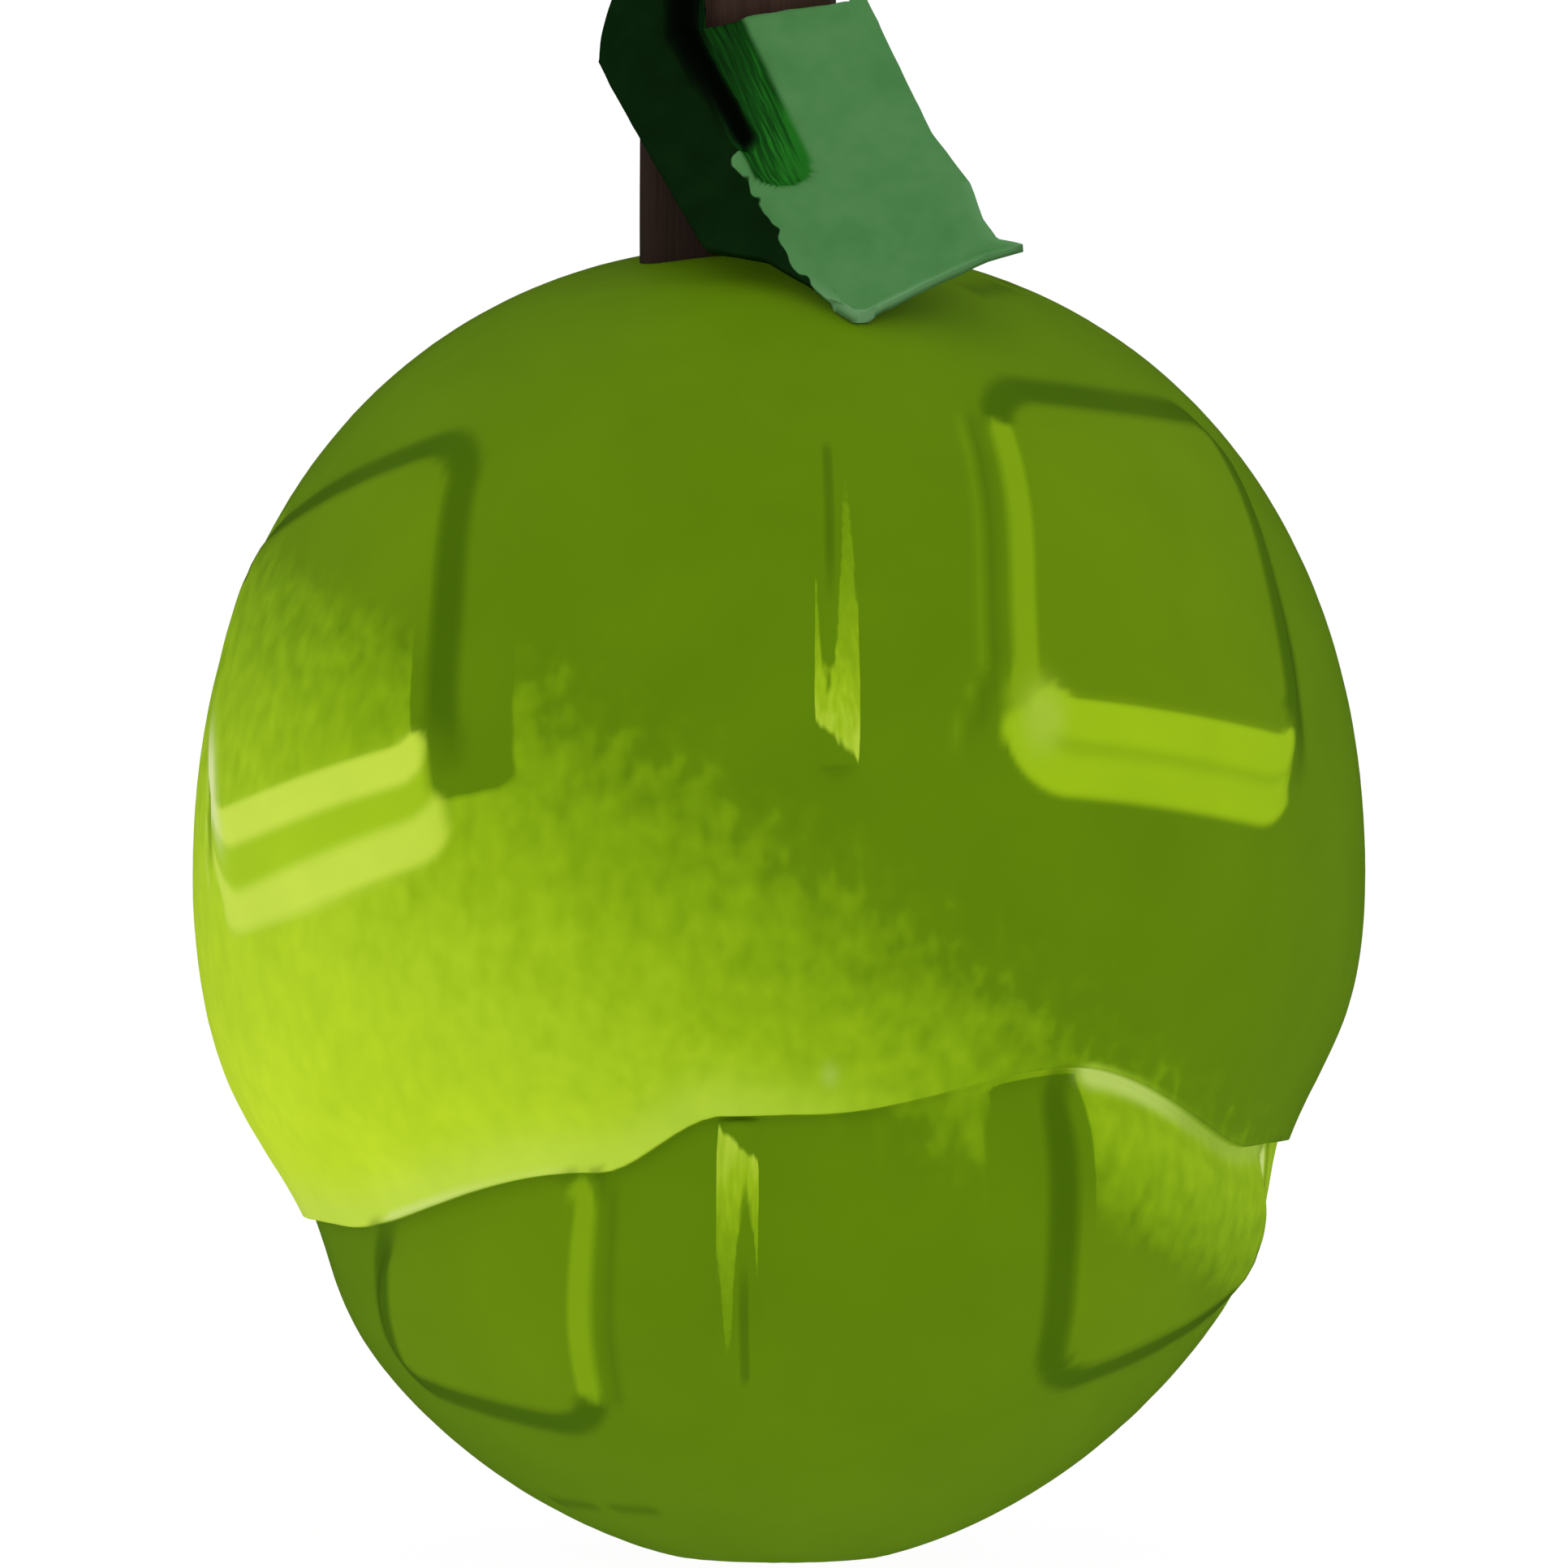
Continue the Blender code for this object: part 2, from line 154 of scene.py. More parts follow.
class Skin:
    """A material whose colour is put together from layers."""

    UNDER = 6
    OVER = 7
    MIXED = 2

    def __init__(
        self, name: str, ior: float, roughness: float, gloss: float, grains: Sequence[Grain]
    ) -> None:
        """Starts a material.

        Args:
            name: The material's name.
            ior: Index of refraction.
            roughness: Roughness of the whole surface.
            gloss: Specular level, 0.5 for the usual strength.
            grains: The unevenness that its layers use.
        """
        self.material = bpy.data.materials.new(name)
        self.material.use_nodes = True
        self.tree = self.material.node_tree
        self.shader = self.tree.nodes["Principled BSDF"]
        self.shader.inputs["IOR"].default_value = ior
        self.shader.inputs["Roughness"].default_value = roughness
        self.shader.inputs["Specular IOR Level"].default_value = gloss
        self.values: dict[str, Socket] = {}
        place = add(self.tree, "ShaderNodeTexCoord").outputs["Object"]
        for grain in grains:
            scale = tuple(1 / (grain.across * part) for part in grain.stretch)
            turned = add(self.tree, "ShaderNodeMapping", {}, {"Vector": place, "Scale": scale})
            links = {"Vector": turned.outputs[0], "Scale": 1.0, "Detail": grain.detail}
            self.values[grain.name] = add(self.tree, "ShaderNodeTexNoise", {}, links).outputs["Fac"]

    def share(
        self, name: str, low: float, high: float, way: str, grain: str = "", shift: float = 0.0
    ) -> Socket:
        """Takes a value of the mesh, or a grain, to a share between two of its values.

        Args:
            name: The value's name.
            low: Where the share is 0.
            high: Where the share is 1.
            way: How it goes from one to the other.
            grain: A grain that shifts the value.
            shift: How far that grain shifts it.

        Returns:
            The share.
        """
        if name not in self.values:
            found = add(self.tree, "ShaderNodeAttribute", {"attribute_name": name})
            self.values[name] = found.outputs["Fac"]
        value = self.values[name]
        if shift:
            links = {0: self.values[grain], 1: shift, 2: value}
            value = add(self.tree, "ShaderNodeMath", {"operation": "MULTIPLY_ADD"}, links).outputs[0]
        links = {"Value": value, "From Min": low + shift / 2, "From Max": high + shift / 2}
        return add(self.tree, "ShaderNodeMapRange", {"interpolation_type": way}, links).outputs["Result"]

    def paint(self, layers: Iterable[Layer]) -> Socket:
        """Lays tones over one another.

        Args:
            layers: The tones, from the one that lies under all the others.

        Returns:
            The colour's socket.
        """
        colour = None
        for layer in layers:
            low, high = layer.stops[0][0], layer.stops[-1][0]
            tone = self.share(layer.follows, low, high, "LINEAR", layer.grain, layer.tone_shift)
            ramp = add(self.tree, "ShaderNodeValToRGB", {}, {"Fac": tone})
            for i, (place, shade) in enumerate(layer.stops):
                elements = ramp.color_ramp.elements
                element = elements[i] if i < 2 else elements.new((place - low) / (high - low))
                element.position = (place - low) / (high - low)
                element.color = linear(shade)
            if colour is None:
                colour = ramp.outputs["Color"]
                continue
            cover = self.share(layer.mask, *layer.edge, "SMOOTHSTEP", layer.grain, layer.mask_shift)
            settings = {"data_type": "RGBA", "blend_type": layer.blend.value}
            links = {0: cover, self.UNDER: colour, self.OVER: ramp.outputs["Color"]}
            colour = add(self.tree, "ShaderNodeMix", settings, links).outputs[self.MIXED]
        return colour

    def finish(
        self, colour: Socket, grain: str, depth: float, roughness: tuple[float, float]
    ) -> bpy.types.Material:
        """Links the colour, the fine relief and the roughness that goes with it.

        Args:
            colour: The surface's colour.
            grain: The grain that is the fine relief.
            depth: How deep that relief is, in metres.
            roughness: Roughness in its hollows and on its tops.

        Returns:
            The finished material.
        """
        links = {"Height": self.values[grain], "Strength": 1.0, "Distance": depth}
        bump = add(self.tree, "ShaderNodeBump", {}, links)
        links = {"Value": self.values[grain], "To Min": roughness[0], "To Max": roughness[1]}
        rough = add(self.tree, "ShaderNodeMapRange", {}, links)
        self.tree.links.new(colour, self.shader.inputs["Base Color"])
        self.tree.links.new(bump.outputs[0], self.shader.inputs["Normal"])
        self.tree.links.new(rough.outputs["Result"], self.shader.inputs["Roughness"])
        return self.material


# Surfaces moved by Geometry Nodes ---------------------------------------------


class Moulding:
    """A Geometry Nodes tree that moves a mesh's points and gives it its material."""

    def __init__(self, name: str, sizes: dict[str, float]) -> None:
        """Starts the tree with its named inputs.

        Args:
            name: The tree's name.
            sizes: The tree's inputs and their values.
        """
        self.tree = bpy.data.node_groups.new(name, "GeometryNodeTree")
        self.sizes = sizes
        face = self.tree.interface
        face.new_socket(name="Geometry", in_out="INPUT", socket_type="NodeSocketGeometry")
        face.new_socket(name="Geometry", in_out="OUTPUT", socket_type="NodeSocketGeometry")
        for size in sizes:
            face.new_socket(name=size, in_out="INPUT", socket_type="NodeSocketFloat")
        self.given = add(self.tree, "NodeGroupInput").outputs
        self.geometry = self.given["Geometry"]
        self.place = add(self.tree, "GeometryNodeInputPosition").outputs[0]
        self.normal = add(self.tree, "GeometryNodeInputNormal").outputs[0]

    def total(self, parts: dict[str, str]) -> Socket:
        """Adds up values of the mesh, each times one of the tree's inputs.

        Args:
            parts: The name of each value, and of the input that it is multiplied by.

        Returns:
            The total.
        """
        height: Socket | float = 0.0
        for value, size in parts.items():
            read = add(self.tree, "GeometryNodeInputNamedAttribute", {}, {"Name": value})
            links = {0: read.outputs["Attribute"], 1: self.given[size], 2: height}
            height = add(self.tree, "ShaderNodeMath", {"operation": "MULTIPLY_ADD"}, links).outputs[0]
        return height

    def grain(self, lift: str, spacing: str, seed: str, stretch: Sequence[float]) -> Socket:
        """Fine unevenness, as high as one input on either side of the surface.

        Args:
            lift: The input that is its height.
            spacing: The input that is the size of one speck.
            seed: The input that says which of the patterns it is.
            stretch: How much longer a speck is along each axis.

        Returns:
            The height at each point.
        """
        links = {0: self.place, 1: tuple(1 / part for part in stretch)}
        drawn = add(self.tree, "ShaderNodeVectorMath", {"operation": "MULTIPLY"}, links).outputs[0]
        often = add(self.tree, "ShaderNodeMath", {"operation": "DIVIDE"}, {0: 1.0, 1: self.given[spacing]})
        links = {"Vector": drawn, "W": self.given[seed], "Scale": often.outputs[0], "Detail": 1.0}
        noise = add(self.tree, "ShaderNodeTexNoise", {"noise_dimensions": "4D"}, links).outputs["Fac"]
        middle = add(self.tree, "ShaderNodeMath", {"operation": "SUBTRACT"}, {0: noise, 1: 0.5})
        links = {0: middle.outputs[0], 1: self.given[lift]}
        return add(self.tree, "ShaderNodeMath", {"operation": "MULTIPLY"}, links).outputs[0]

    def move(self, direction: Socket, height: Socket) -> None:
        """Moves the points along a direction.

        Args:
            direction: The direction, one metre long.
            height: How far each point moves.
        """
        links = {"Vector": direction, "Scale": height}
        offset = add(self.tree, "ShaderNodeVectorMath", {"operation": "SCALE"}, links).outputs[0]
        links = {"Geometry": self.geometry, "Offset": offset}
        self.geometry = add(self.tree, "GeometryNodeSetPosition", {}, links).outputs[0]

    def apply(self, item: bpy.types.Object, material: bpy.types.Material) -> None:
        """Runs the tree on an object and keeps the result as its plain mesh.

        Args:
            item: The object.
            material: What it is made of.
        """
        real = add(self.tree, "GeometryNodeRealizeInstances", {}, {"Geometry": self.geometry}).outputs[0]
        dressed = add(self.tree, "GeometryNodeSetMaterial", {}, {"Geometry": real, "Material": material})
        add(self.tree, "NodeGroupOutput", {}, {"Geometry": dressed.outputs[0]})
        modifier = item.modifiers.new(self.tree.name, "NODES")
        modifier.node_group = self.tree
        for socket in self.tree.interface.items_tree:
            if socket.in_out == "INPUT" and socket.name in self.sizes:
                modifier[socket.identifier] = self.sizes[socket.name]
        settle(item)


def settle(item: bpy.types.Object) -> None:
    """Turns an object's live modifiers into its plain mesh.

    Args:
        item: The object.
    """
    graph = bpy.context.evaluated_depsgraph_get()
    graph.update()
    mesh = bpy.data.meshes.new_from_object(
        item.evaluated_get(graph), preserve_all_data_layers=True, depsgraph=graph
    )
    item.modifiers.clear()
    item.data = mesh


def new_item(name: str, mesh: bpy.types.Mesh) -> bpy.types.Object:
    """Puts a mesh in the scene, at the origin.

    Args:
        name: The object's name.
        mesh: Its mesh.

    Returns:
        The object.
    """
    item = bpy.data.objects.new(name, mesh)
    bpy.context.scene.collection.objects.link(item)
    return item


def closed_skin(
    name: str, points: Reals, poles: tuple[Triple, ...], paint: dict[str, Reals]
) -> bpy.types.Object:
    """Makes a closed mesh from rings of points, with its painted values.

    Args:
        name: The object's name.
        points: Rings from the bottom up, each with as many points, counted anticlockwise.
        poles: The points that close the first ring and the last one.
        paint: Values for each of the rings' points.

    Returns:
        The object.
    """
    rows, columns = points.shape[:2]
    count = rows * columns
    index = np.arange(count).reshape(rows, columns)
    right = np.roll(index, -1, axis=1)
    walls = np.stack([index[:-1], right[:-1], right[1:], index[1:]], axis=-1).reshape(-1, 4)
    feet = np.stack([right[0], index[0], np.full(columns, count)], axis=-1)
    tops = np.stack([index[-1], right[-1], np.full(columns, count + 1)], axis=-1)
    mesh = bpy.data.meshes.new(name)
    places = np.concatenate([points.reshape(-1, 3), poles])
    mesh.from_pydata(places.tolist(), [], [*walls.tolist(), *feet.tolist(), *tops.tolist()])
    mesh.update()
    mesh.shade_smooth()
    for title, values in paint.items():
        ends = [values[0].mean(), values[-1].mean()]
        layer = mesh.attributes.new(title, "FLOAT", "POINT")
        layer.data.foreach_set("value", np.concatenate([values.ravel(), ends]).astype(np.float32))
    return new_item(name, mesh)


def hand_over(item: bpy.types.Object, node: str) -> None:
    """Lets a finished piece stand for its CAD node.

    Args:
        item: The finished piece.
        node: The CAD node that it replaces.
    """
    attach(item, BODY)
    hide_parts(node)
    item.data.calc_loop_triangles()
    log.info("%s: %d triangles, stands for %s", item.name, len(item.data.loop_triangles), node)


def between(value: Reals, low: Reals | float, high: Reals | float) -> Reals:
    """Goes straight from 0 at the low value to 1 at the high one."""
    return np.clip((value - low) / (high - low), 0.0, 1.0)


def softly(value: Reals, low: Reals | float, high: Reals | float) -> Reals:
    """Goes smoothly from 0 at the low value to 1 at the high one."""
    share = between(value, low, high)
    return share * share * (3 - 2 * share)


def wrapped(degrees: Reals, turn: float = 360.0) -> Reals:
    """The same bearings, from minus half a turn to half a turn."""
    return (degrees + turn / 2) % turn - turn / 2


# The fruit ----------------------------------------------------------------------


class Ring(Enum):
    """The two rings of the pattern; the lower one is the upper one turned over."""

    UPPER = 1
    LOWER = -1


@dataclass(frozen=True)
class RindFinish:
    """Waxed lime rind, as grown: a satin skin that is deep green, with one side in painted light.

    The eye sees a deep leafy green, a yellow-green patch of painted light that frays out in short
    upright strokes, and bevels with painted highlights where they face that light and painted
    shade behind.
    """

    body: str = "#5F820A"
    face: str = "#67880B"
    # The colour of the painted shade on the bevels.
    groove_shade: str = "#486906"
    # The painted light frays in strokes a millimetre wide, and the ridges' painted highlight threads are 0.3
    # mm wide.
    strokes: Grain = Grain("strokes", 0.00095, (1.0, 1.0, 1.4), 1.2)
    streaks: Grain = Grain("streaks", 0.00030, (1.0, 1.0, 7.0), 1.0)
    # The green is uneven in patches 4.5 mm wide, and oil pores are 0.9 mm apart.
    mottle: Grain = Grain("mottle", 0.0045)
    pores: Grain = Grain("pores", 0.0009, detail=1.0)

    def layers(self) -> tuple[Layer, ...]:
        """The tones in order; what they follow is mostly millimetres inside the painted light.

        Returns:
            The tones, from the one that lies under all the others.
        """
        painted_light = (
            (-2.0, self.body), (-0.3, "#63860A"), (0.8, "#6E920C"), (4.0, "#81A611"), (8.0, "#94B817"),
            (13.0, "#AACB24"), (18.0, "#B8D727"), (23.0, "#C5E12A"),
        )
        band = ((-9.0, "#9BBE18"), (-1.0, "#A5C71C"), (4.0, "#C1DA44"), (12.0, "#CBE250"))
        thread = (
            (0.05, "#688B0C"), (0.40, "#769A0F"), (0.62, "#82A612"), (0.80, "#98BA1C"), (0.96, "#B4CF3C"),
        )
        return (
            # Painted light over the body colour, fraying at its edge.
            Layer("painted_light", painted_light, grain="strokes", tone_shift=7.0),
            Layer("face", ((0.0, self.face), (1.0, self.face)), "face"),
            # A painted highlight just above the waist.
            Layer("painted_light", ((0.0, "#A9CA2E"), (20.0, "#BFD952")), "pale"),
            # Painted shade on the panels' far ends and dark sides; the same tone draws the dark dashes.
            Layer("dark", ((0.0, self.groove_shade), (1.0, self.groove_shade)), "dark"),
            # Painted highlights on the lit sides, the treads and the bands of the bevels.
            Layer("depth", ((-2.0, "#7FA212"), (3.0, "#98B820"), (9.0, "#CFE080")), "side"),
            Layer("depth", ((-2.0, "#8CB013"), (2.0, "#96B91A"), (12.0, "#A6C920")), "tread"),
            Layer("depth", band, "band"),
            # A painted highlight at the upper panels' lit corner; the same tone draws one pale spot.
            Layer("depth", ((-2.0, "#A4C238"), (8.0, "#DCE7A4")), "gleam"),
            # A painted highlight on the lower panels' slope up to the waist.
            Layer("depth", ((0.0, "#98B92A"), (8.0, "#CADF74")), "rim"),
            # Painted highlight threads on the ridges, and a line of painted shade beside them.
            Layer("run", thread, "ridge_highlight", (-0.04, 0.07), "streaks", 0.34, 0.18),
            Layer("ridge_shade_line", ((0.0, "#4F7008"), (1.0, "#4F7008")), "ridge_shade_line"),
            Layer("mottle", ((0.3, "#F6F8F0"), (0.7, "#FFFFFF")), "mottle", (-1.0, 0.0), blend=Blend.DARKEN),
        )

    def make(self) -> bpy.types.Material:
        """Makes the material.

        Returns:
            The material.
        """
        grains = (self.strokes, self.streaks, self.mottle, self.pores)
        skin = Skin("waxed_lime_rind", 1.45, 0.5, 0.015, grains)
        return skin.finish(skin.paint(self.layers()), "pores", 0.00002, (0.60, 0.46))


@dataclass(frozen=True)
class Slopes:
    """Places about one panel: metres outside its face's four edges, and its slopes' widths.

    Rightward goes from -1 at the fruit's left to 1 at its right.  The treads are where a
    step starts and ends on the slope to the waist, and where that slope ends, as shares
    of its width.
    """

    waist: Reals
    far: Reals
    lit: Reals
    dark: Reals
    waist_width: Reals
    far_width: Reals
    side_width: float
    corner: float
    rightward: Reals
    treads: tuple[Reals, Reals, Reals]

    def reach(self) -> tuple[Reals, Reals]:
        """How far down the slopes places are, round the face's rounded corners.

        Returns:
            Less than 0 on the face, 0 at its edge, 1 at the foot and more beyond it; and
            how much that is the slope at one end rather than at one side.
        """
        end_width = np.where(self.waist > self.far, self.waist_width, self.far_width)
        down = np.maximum(self.waist, self.far) + self.corner
        out = np.maximum(self.lit, self.dark) + self.corner
        away = np.hypot(np.maximum(down, 0.0), np.maximum(out, 0.0))
        turn = (np.maximum(down, 0.0) / np.maximum(away, 1e-9)) ** 2
        width = self.side_width + (end_width - self.side_width) * turn
        return (away - self.corner + np.minimum(np.maximum(down, out), 0.0)) / width, turn


@dataclass(frozen=True)
class Fruit:
    """The fruit: a full body with a stepped waist, two rings of panels, and narrow ridges.

    Places round it are pattern bearings, which the lean takes to real ones.
    """

    # The whole body; a fullness of 2 is an ellipse.
    width: float = 0.0500
    lower_height: float = 0.0286
    upper_height: float = 0.0273
    upper_fullness: float = 2.2
    lower_fullness: float = 1.9
    rest_radius: float = 0.0050

    # The waist: bearings and shares of the lower part's height.
    waist_places: Pairs = (
        (-180.0, 0.594), (-75.0, 0.510), (-52.0, 0.521), (-17.0, 0.640), (-5.0, 0.731),
        (3.0, 0.734), (28.0, 0.794), (56.0, 0.640), (80.0, 0.622), (180.0, 0.594),
    )
    waist_depth: float = 0.00115
    waist_half_width: float = 0.0031
    waist_step: float = 0.0005
    waist_step_fade: float = 0.0040
    waist_step_height: float = 0.0004

    # The panels: each one's middle and half width, and how wide its sides are, in degrees.
    # The pattern leans out by so many degrees for each millimetre off the widest level,
    # less a dip: its share, middle and spread.  Heights are shares of their part's height,
    # given as a base, a lift at front and back, and one at the right.
    upper_panels: Pairs = ((38.3, 15.7), (129.7, 17.1), (-140.3, 17.1), (-49.7, 17.7))
    lower_panels: Pairs = ((-32.0, 12.5), (45.2, 17.1), (132.0, 17.1), (-138.0, 17.1))
    panel_side_angle: float = 2.8
    panel_rise: float = 0.0005
    panel_corner: float = 0.0016
    lean: float = 1.4
    lean_dip: Triple = (0.17, 13.0, 4.5)
    upper_lift: Triple = (0.148, 0.234, 0.047)
    upper_top: Triple = (0.586, 0.226, 0.141)
    upper_top_slant: float = -0.051
    upper_end_slope: float = 0.044
    upper_waist_slope: float = 0.176
    upper_treads: Pairs = ((0.39, 0.02), (0.54, -0.16), (1.0, -0.19))
    lower_lift: Triple = (0.430, -0.182, 0.049)
    lower_end_slope: float = 0.042
    lower_waist_slope: float = 0.056

    # The ridges, and the painted highlights on them: places across and where each bright thread starts.
    upper_ridge_bearing: float = 4.9
    lower_ridge_bearing: float = -3.7
    ridges_round: int = 2
    ridge_half_angle: float = 2.1
    ridge_rise: float = 0.0005
    ridge_fade_short: float = 0.0016
    upper_ridge_start: float = 0.0015
    highlight_starts: Pairs = (
        (-1.06, 3.0), (-0.96, 0.38), (-0.84, 0.44), (-0.66, 0.66), (-0.38, 0.74), (-0.10, 0.66),
        (0.10, 0.44), (0.30, 0.16), (0.50, 0.16), (0.66, 0.40), (0.80, 0.48), (0.96, 0.50), (1.06, 3.0),
    )

    # Small marks: each dash's height, start and end, and one spot's bearing and height.
    dashes: tuple[Triple, ...] = (
        (0.0543, 36.0, 52.5), (0.0543, 55.5, 60.0), (0.0027, -39.0, -27.5), (0.0027, -25.5, -17.0),
    )
    dash_half_width: float = 0.0003
    dash_strength: float = 0.6
    spot: tuple[float, float] = (4.6, 0.0226)
    spot_radius: float = 0.00045
    spot_stretch: float = 0.7
    spot_strength: float = 0.25

    # The skin's fine strokes, then the mesh's spacing in degrees, and its rows between
    # one of the pattern's lines and the next.
    stroke_lift: float = 0.00006
    stroke_spacing: float = 0.0009
    stroke_height: float = 3.0
    bearing_step: float = 1.25
    slope_step: float = 0.6
    ridge_step: float = 0.3
    line_steps: tuple[int, ...] = (36, 8, 18, 6, 4, 34, 26, 34, 8, 40)

    # The painted light lies on one side of a slanting plane, which lies elsewhere under the waist.
    # Beside a dark side painted shade holds it back, and just above the waist a painted highlight makes it
    # paler.
    light_plane_normal: Triple = (0.539, 0.073, 0.839)
    upper_light_plane: float = 0.0255
    lower_light_plane: float = 0.0187
    lower_light_gain: float = 1.25
    shade_depth: float = 25.0
    pale_height: float = 0.0022
    pale_strength: float = 0.6
    finish: RindFinish = field(default_factory=RindFinish)

    def lower_reach(self) -> float:
        """Height of the whole lower half, before the flat spot cuts it."""
        share = 1.0 - (self.rest_radius / (self.width / 2)) ** self.lower_fullness
        return self.lower_height / share ** (1 / self.lower_fullness)

    def plain_radius(self, height: Reals) -> Reals:
        """Radius at each height, without the waist and the relief.

        Args:
            height: Heights.

        Returns:
            The radii.
        """
        above = height - self.lower_height
        reach = np.where(above < 0, self.lower_reach(), self.upper_height)
        fullness = np.where(above < 0, self.lower_fullness, self.upper_fullness)
        share = np.clip(1.0 - (np.abs(above) / reach) ** fullness, 0.0, 1.0)
        return self.width / 2 * share ** (1 / fullness)

    def crown_height(self, distance: Reals | float) -> Reals:
        """Height of the upper surface at a distance from the fruit's axis."""
        share = np.maximum(0.0, 1.0 - (distance / (self.width / 2)) ** self.upper_fullness)
        return self.lower_height + self.upper_height * share ** (1 / self.upper_fullness)

    def degree(self) -> float:
        """Length of one degree round the widest level."""
        return math.radians(self.width / 2)

    @staticmethod
    def swing(bearing: Reals, lift: Triple) -> Reals:
        """A share for the sides, lifted at the front and the back, and at the right."""
        turn = np.radians(bearing)
        return lift[0] + lift[1] * np.cos(turn) ** 2 + lift[2] * np.sin(turn)

    def waist_line(self, bearing: Reals) -> Reals:
        """Height of the waist, eased from each of its places to the next.

        Args:
            bearing: Pattern bearings.

        Returns:
            The height at each.
        """
        line = np.full_like(bearing, self.waist_places[0][1])
        for (start, low), (end, high) in zip(self.waist_places, self.waist_places[1:]):
            line += (high - low) * softly(wrapped(bearing), start, end)
        return self.lower_height * line

    def upper_lines(self, bearing: Reals) -> tuple[Reals, Reals, Reals, Reals]:
        """Heights of the upper panels' foot, lower edge, upper edge and top foot.

        Args:
            bearing: Pattern bearings.

        Returns:
            The four heights at each.
        """
        low = self.swing(bearing, self.upper_lift)
        high = self.swing(bearing, self.upper_top) + self.upper_top_slant * np.sin(np.radians(2 * bearing))
        shares = (low - self.upper_waist_slope, low, high, high + self.upper_end_slope)
        return tuple(self.lower_height + self.upper_height * share for share in shares)

    def lower_lines(self, bearing: Reals) -> tuple[Reals, Reals, Reals, Reals]:
        """The same for the lower panels, which end just under the waist.

        Args:
            bearing: Pattern bearings.

        Returns:
            The four heights at each.
        """
        low = self.lower_height * self.swing(bearing, self.lower_lift)
        high = self.waist_line(bearing) - self.waist_step_height
        slopes = (self.lower_height * self.lower_end_slope, self.lower_height * self.lower_waist_slope)
        return low - slopes[0], low, high - slopes[1], high

    def bearings(self) -> Reals:
        """Bearings of the mesh's columns, closer together on the panels' sides and the ridges.

        Returns:
            The bearings, from 0 up.
        """
        marks = {0.0, 360.0}
        steps: list[tuple[float, float]] = []
        for centre, half in self.upper_panels + self.lower_panels:
            foot = half + self.panel_side_angle
            marks.update(round((centre + off) % 360.0, 3) for off in (-foot, -half, half, foot))
            steps += [((centre + sign * (half + foot) / 2) % 360.0, self.slope_step) for sign in (1, -1)]
        for first in (self.upper_ridge_bearing, self.lower_ridge_bearing):
            for i in range(self.ridges_round):
                centre = (first + 360.0 * i / self.ridges_round) % 360.0
                offsets = (-self.ridge_half_angle, 0.0, self.ridge_half_angle)
                marks.update(round((centre + off) % 360.0, 3) for off in offsets)
                steps += [(centre + sign * self.ridge_half_angle / 2, self.ridge_step) for sign in (1, -1)]
        ordered = sorted(marks)
        found: list[float] = []
        for low, high in zip(ordered, ordered[1:]):
            step = min([self.bearing_step] + [fine for place, fine in steps if low <= place <= high])
            count = max(1, math.ceil((high - low) / step))
            found += [low + (high - low) * i / count for i in range(count)]
        return np.array(found)

    def level_angle(self, height: Reals) -> Reals:
        """The angle above or below the widest level that stands for a height.

        Args:
            height: Heights.

        Returns:
            The angle for each, in radians.
        """
        above = height - self.lower_height
        reach = np.where(above > 0, self.upper_height, self.lower_reach())
        return np.arcsin(np.clip(above / reach, -1.0, 1.0))

    def levels(self, bearing: Reals) -> Reals:
        """Heights of the mesh's rows at each bearing, from the flat spot to near the crown.

        Args:
            bearing: Pattern bearings.

        Returns:
            The heights, with a row for each row of the mesh.
        """
        flat = np.zeros_like(bearing)
        crown = flat + self.lower_height + self.upper_height
        lower, upper = self.lower_lines(bearing), self.upper_lines(bearing)
        lines = [flat, *lower, self.waist_line(bearing), *upper, crown]
        angles = [self.level_angle(line) for line in lines]
        rows = []
        for low, high, steps in zip(angles, angles[1:], self.line_steps):
            rows += [low + (high - low) * i / steps for i in range(steps)]
        angle = np.array(rows)
        reach = np.where(angle > 0, self.upper_height, self.lower_reach())
        height = self.lower_height + np.sin(angle) * reach
        height[0] = 0.0
        return height

    def pattern(self, bearing: Reals, height: Reals) -> dict[str, Reals]:
        """Relief and painted tones at places of the pattern.

        Args:
            bearing: Pattern bearings.
            height: Heights, of the same shape.

        Returns:
            For each kind of relief and each tone a share from 0 to 1.
        """
        found: dict[str, Reals] = {}
        for ring in Ring:
            up = ring is Ring.UPPER
            lines = self.upper_lines(bearing) if up else self.lower_lines(bearing)[::-1]
            tones = [self.ridge_tones(ring, bearing, height, lines[0], lines[2])]
            for panel in self.upper_panels if up else self.lower_panels:
                slopes = self.panel_slopes(ring, panel, bearing, height, lines)
                tones.append(self.panel_tones(slopes, ring))
            away = (height - self.waist_line(bearing)) * ring.value < -self.waist_step_height / 2
            for part in tones:
                for name, value in part.items():
                    kept = np.where(away, min(0.0, value.min()), value)
                    found[name] = np.maximum(found.get(name, -1.0), kept)
        for name, mark in self.marks(bearing, height).items():
            found[name] = np.maximum(found[name], mark)
        return found

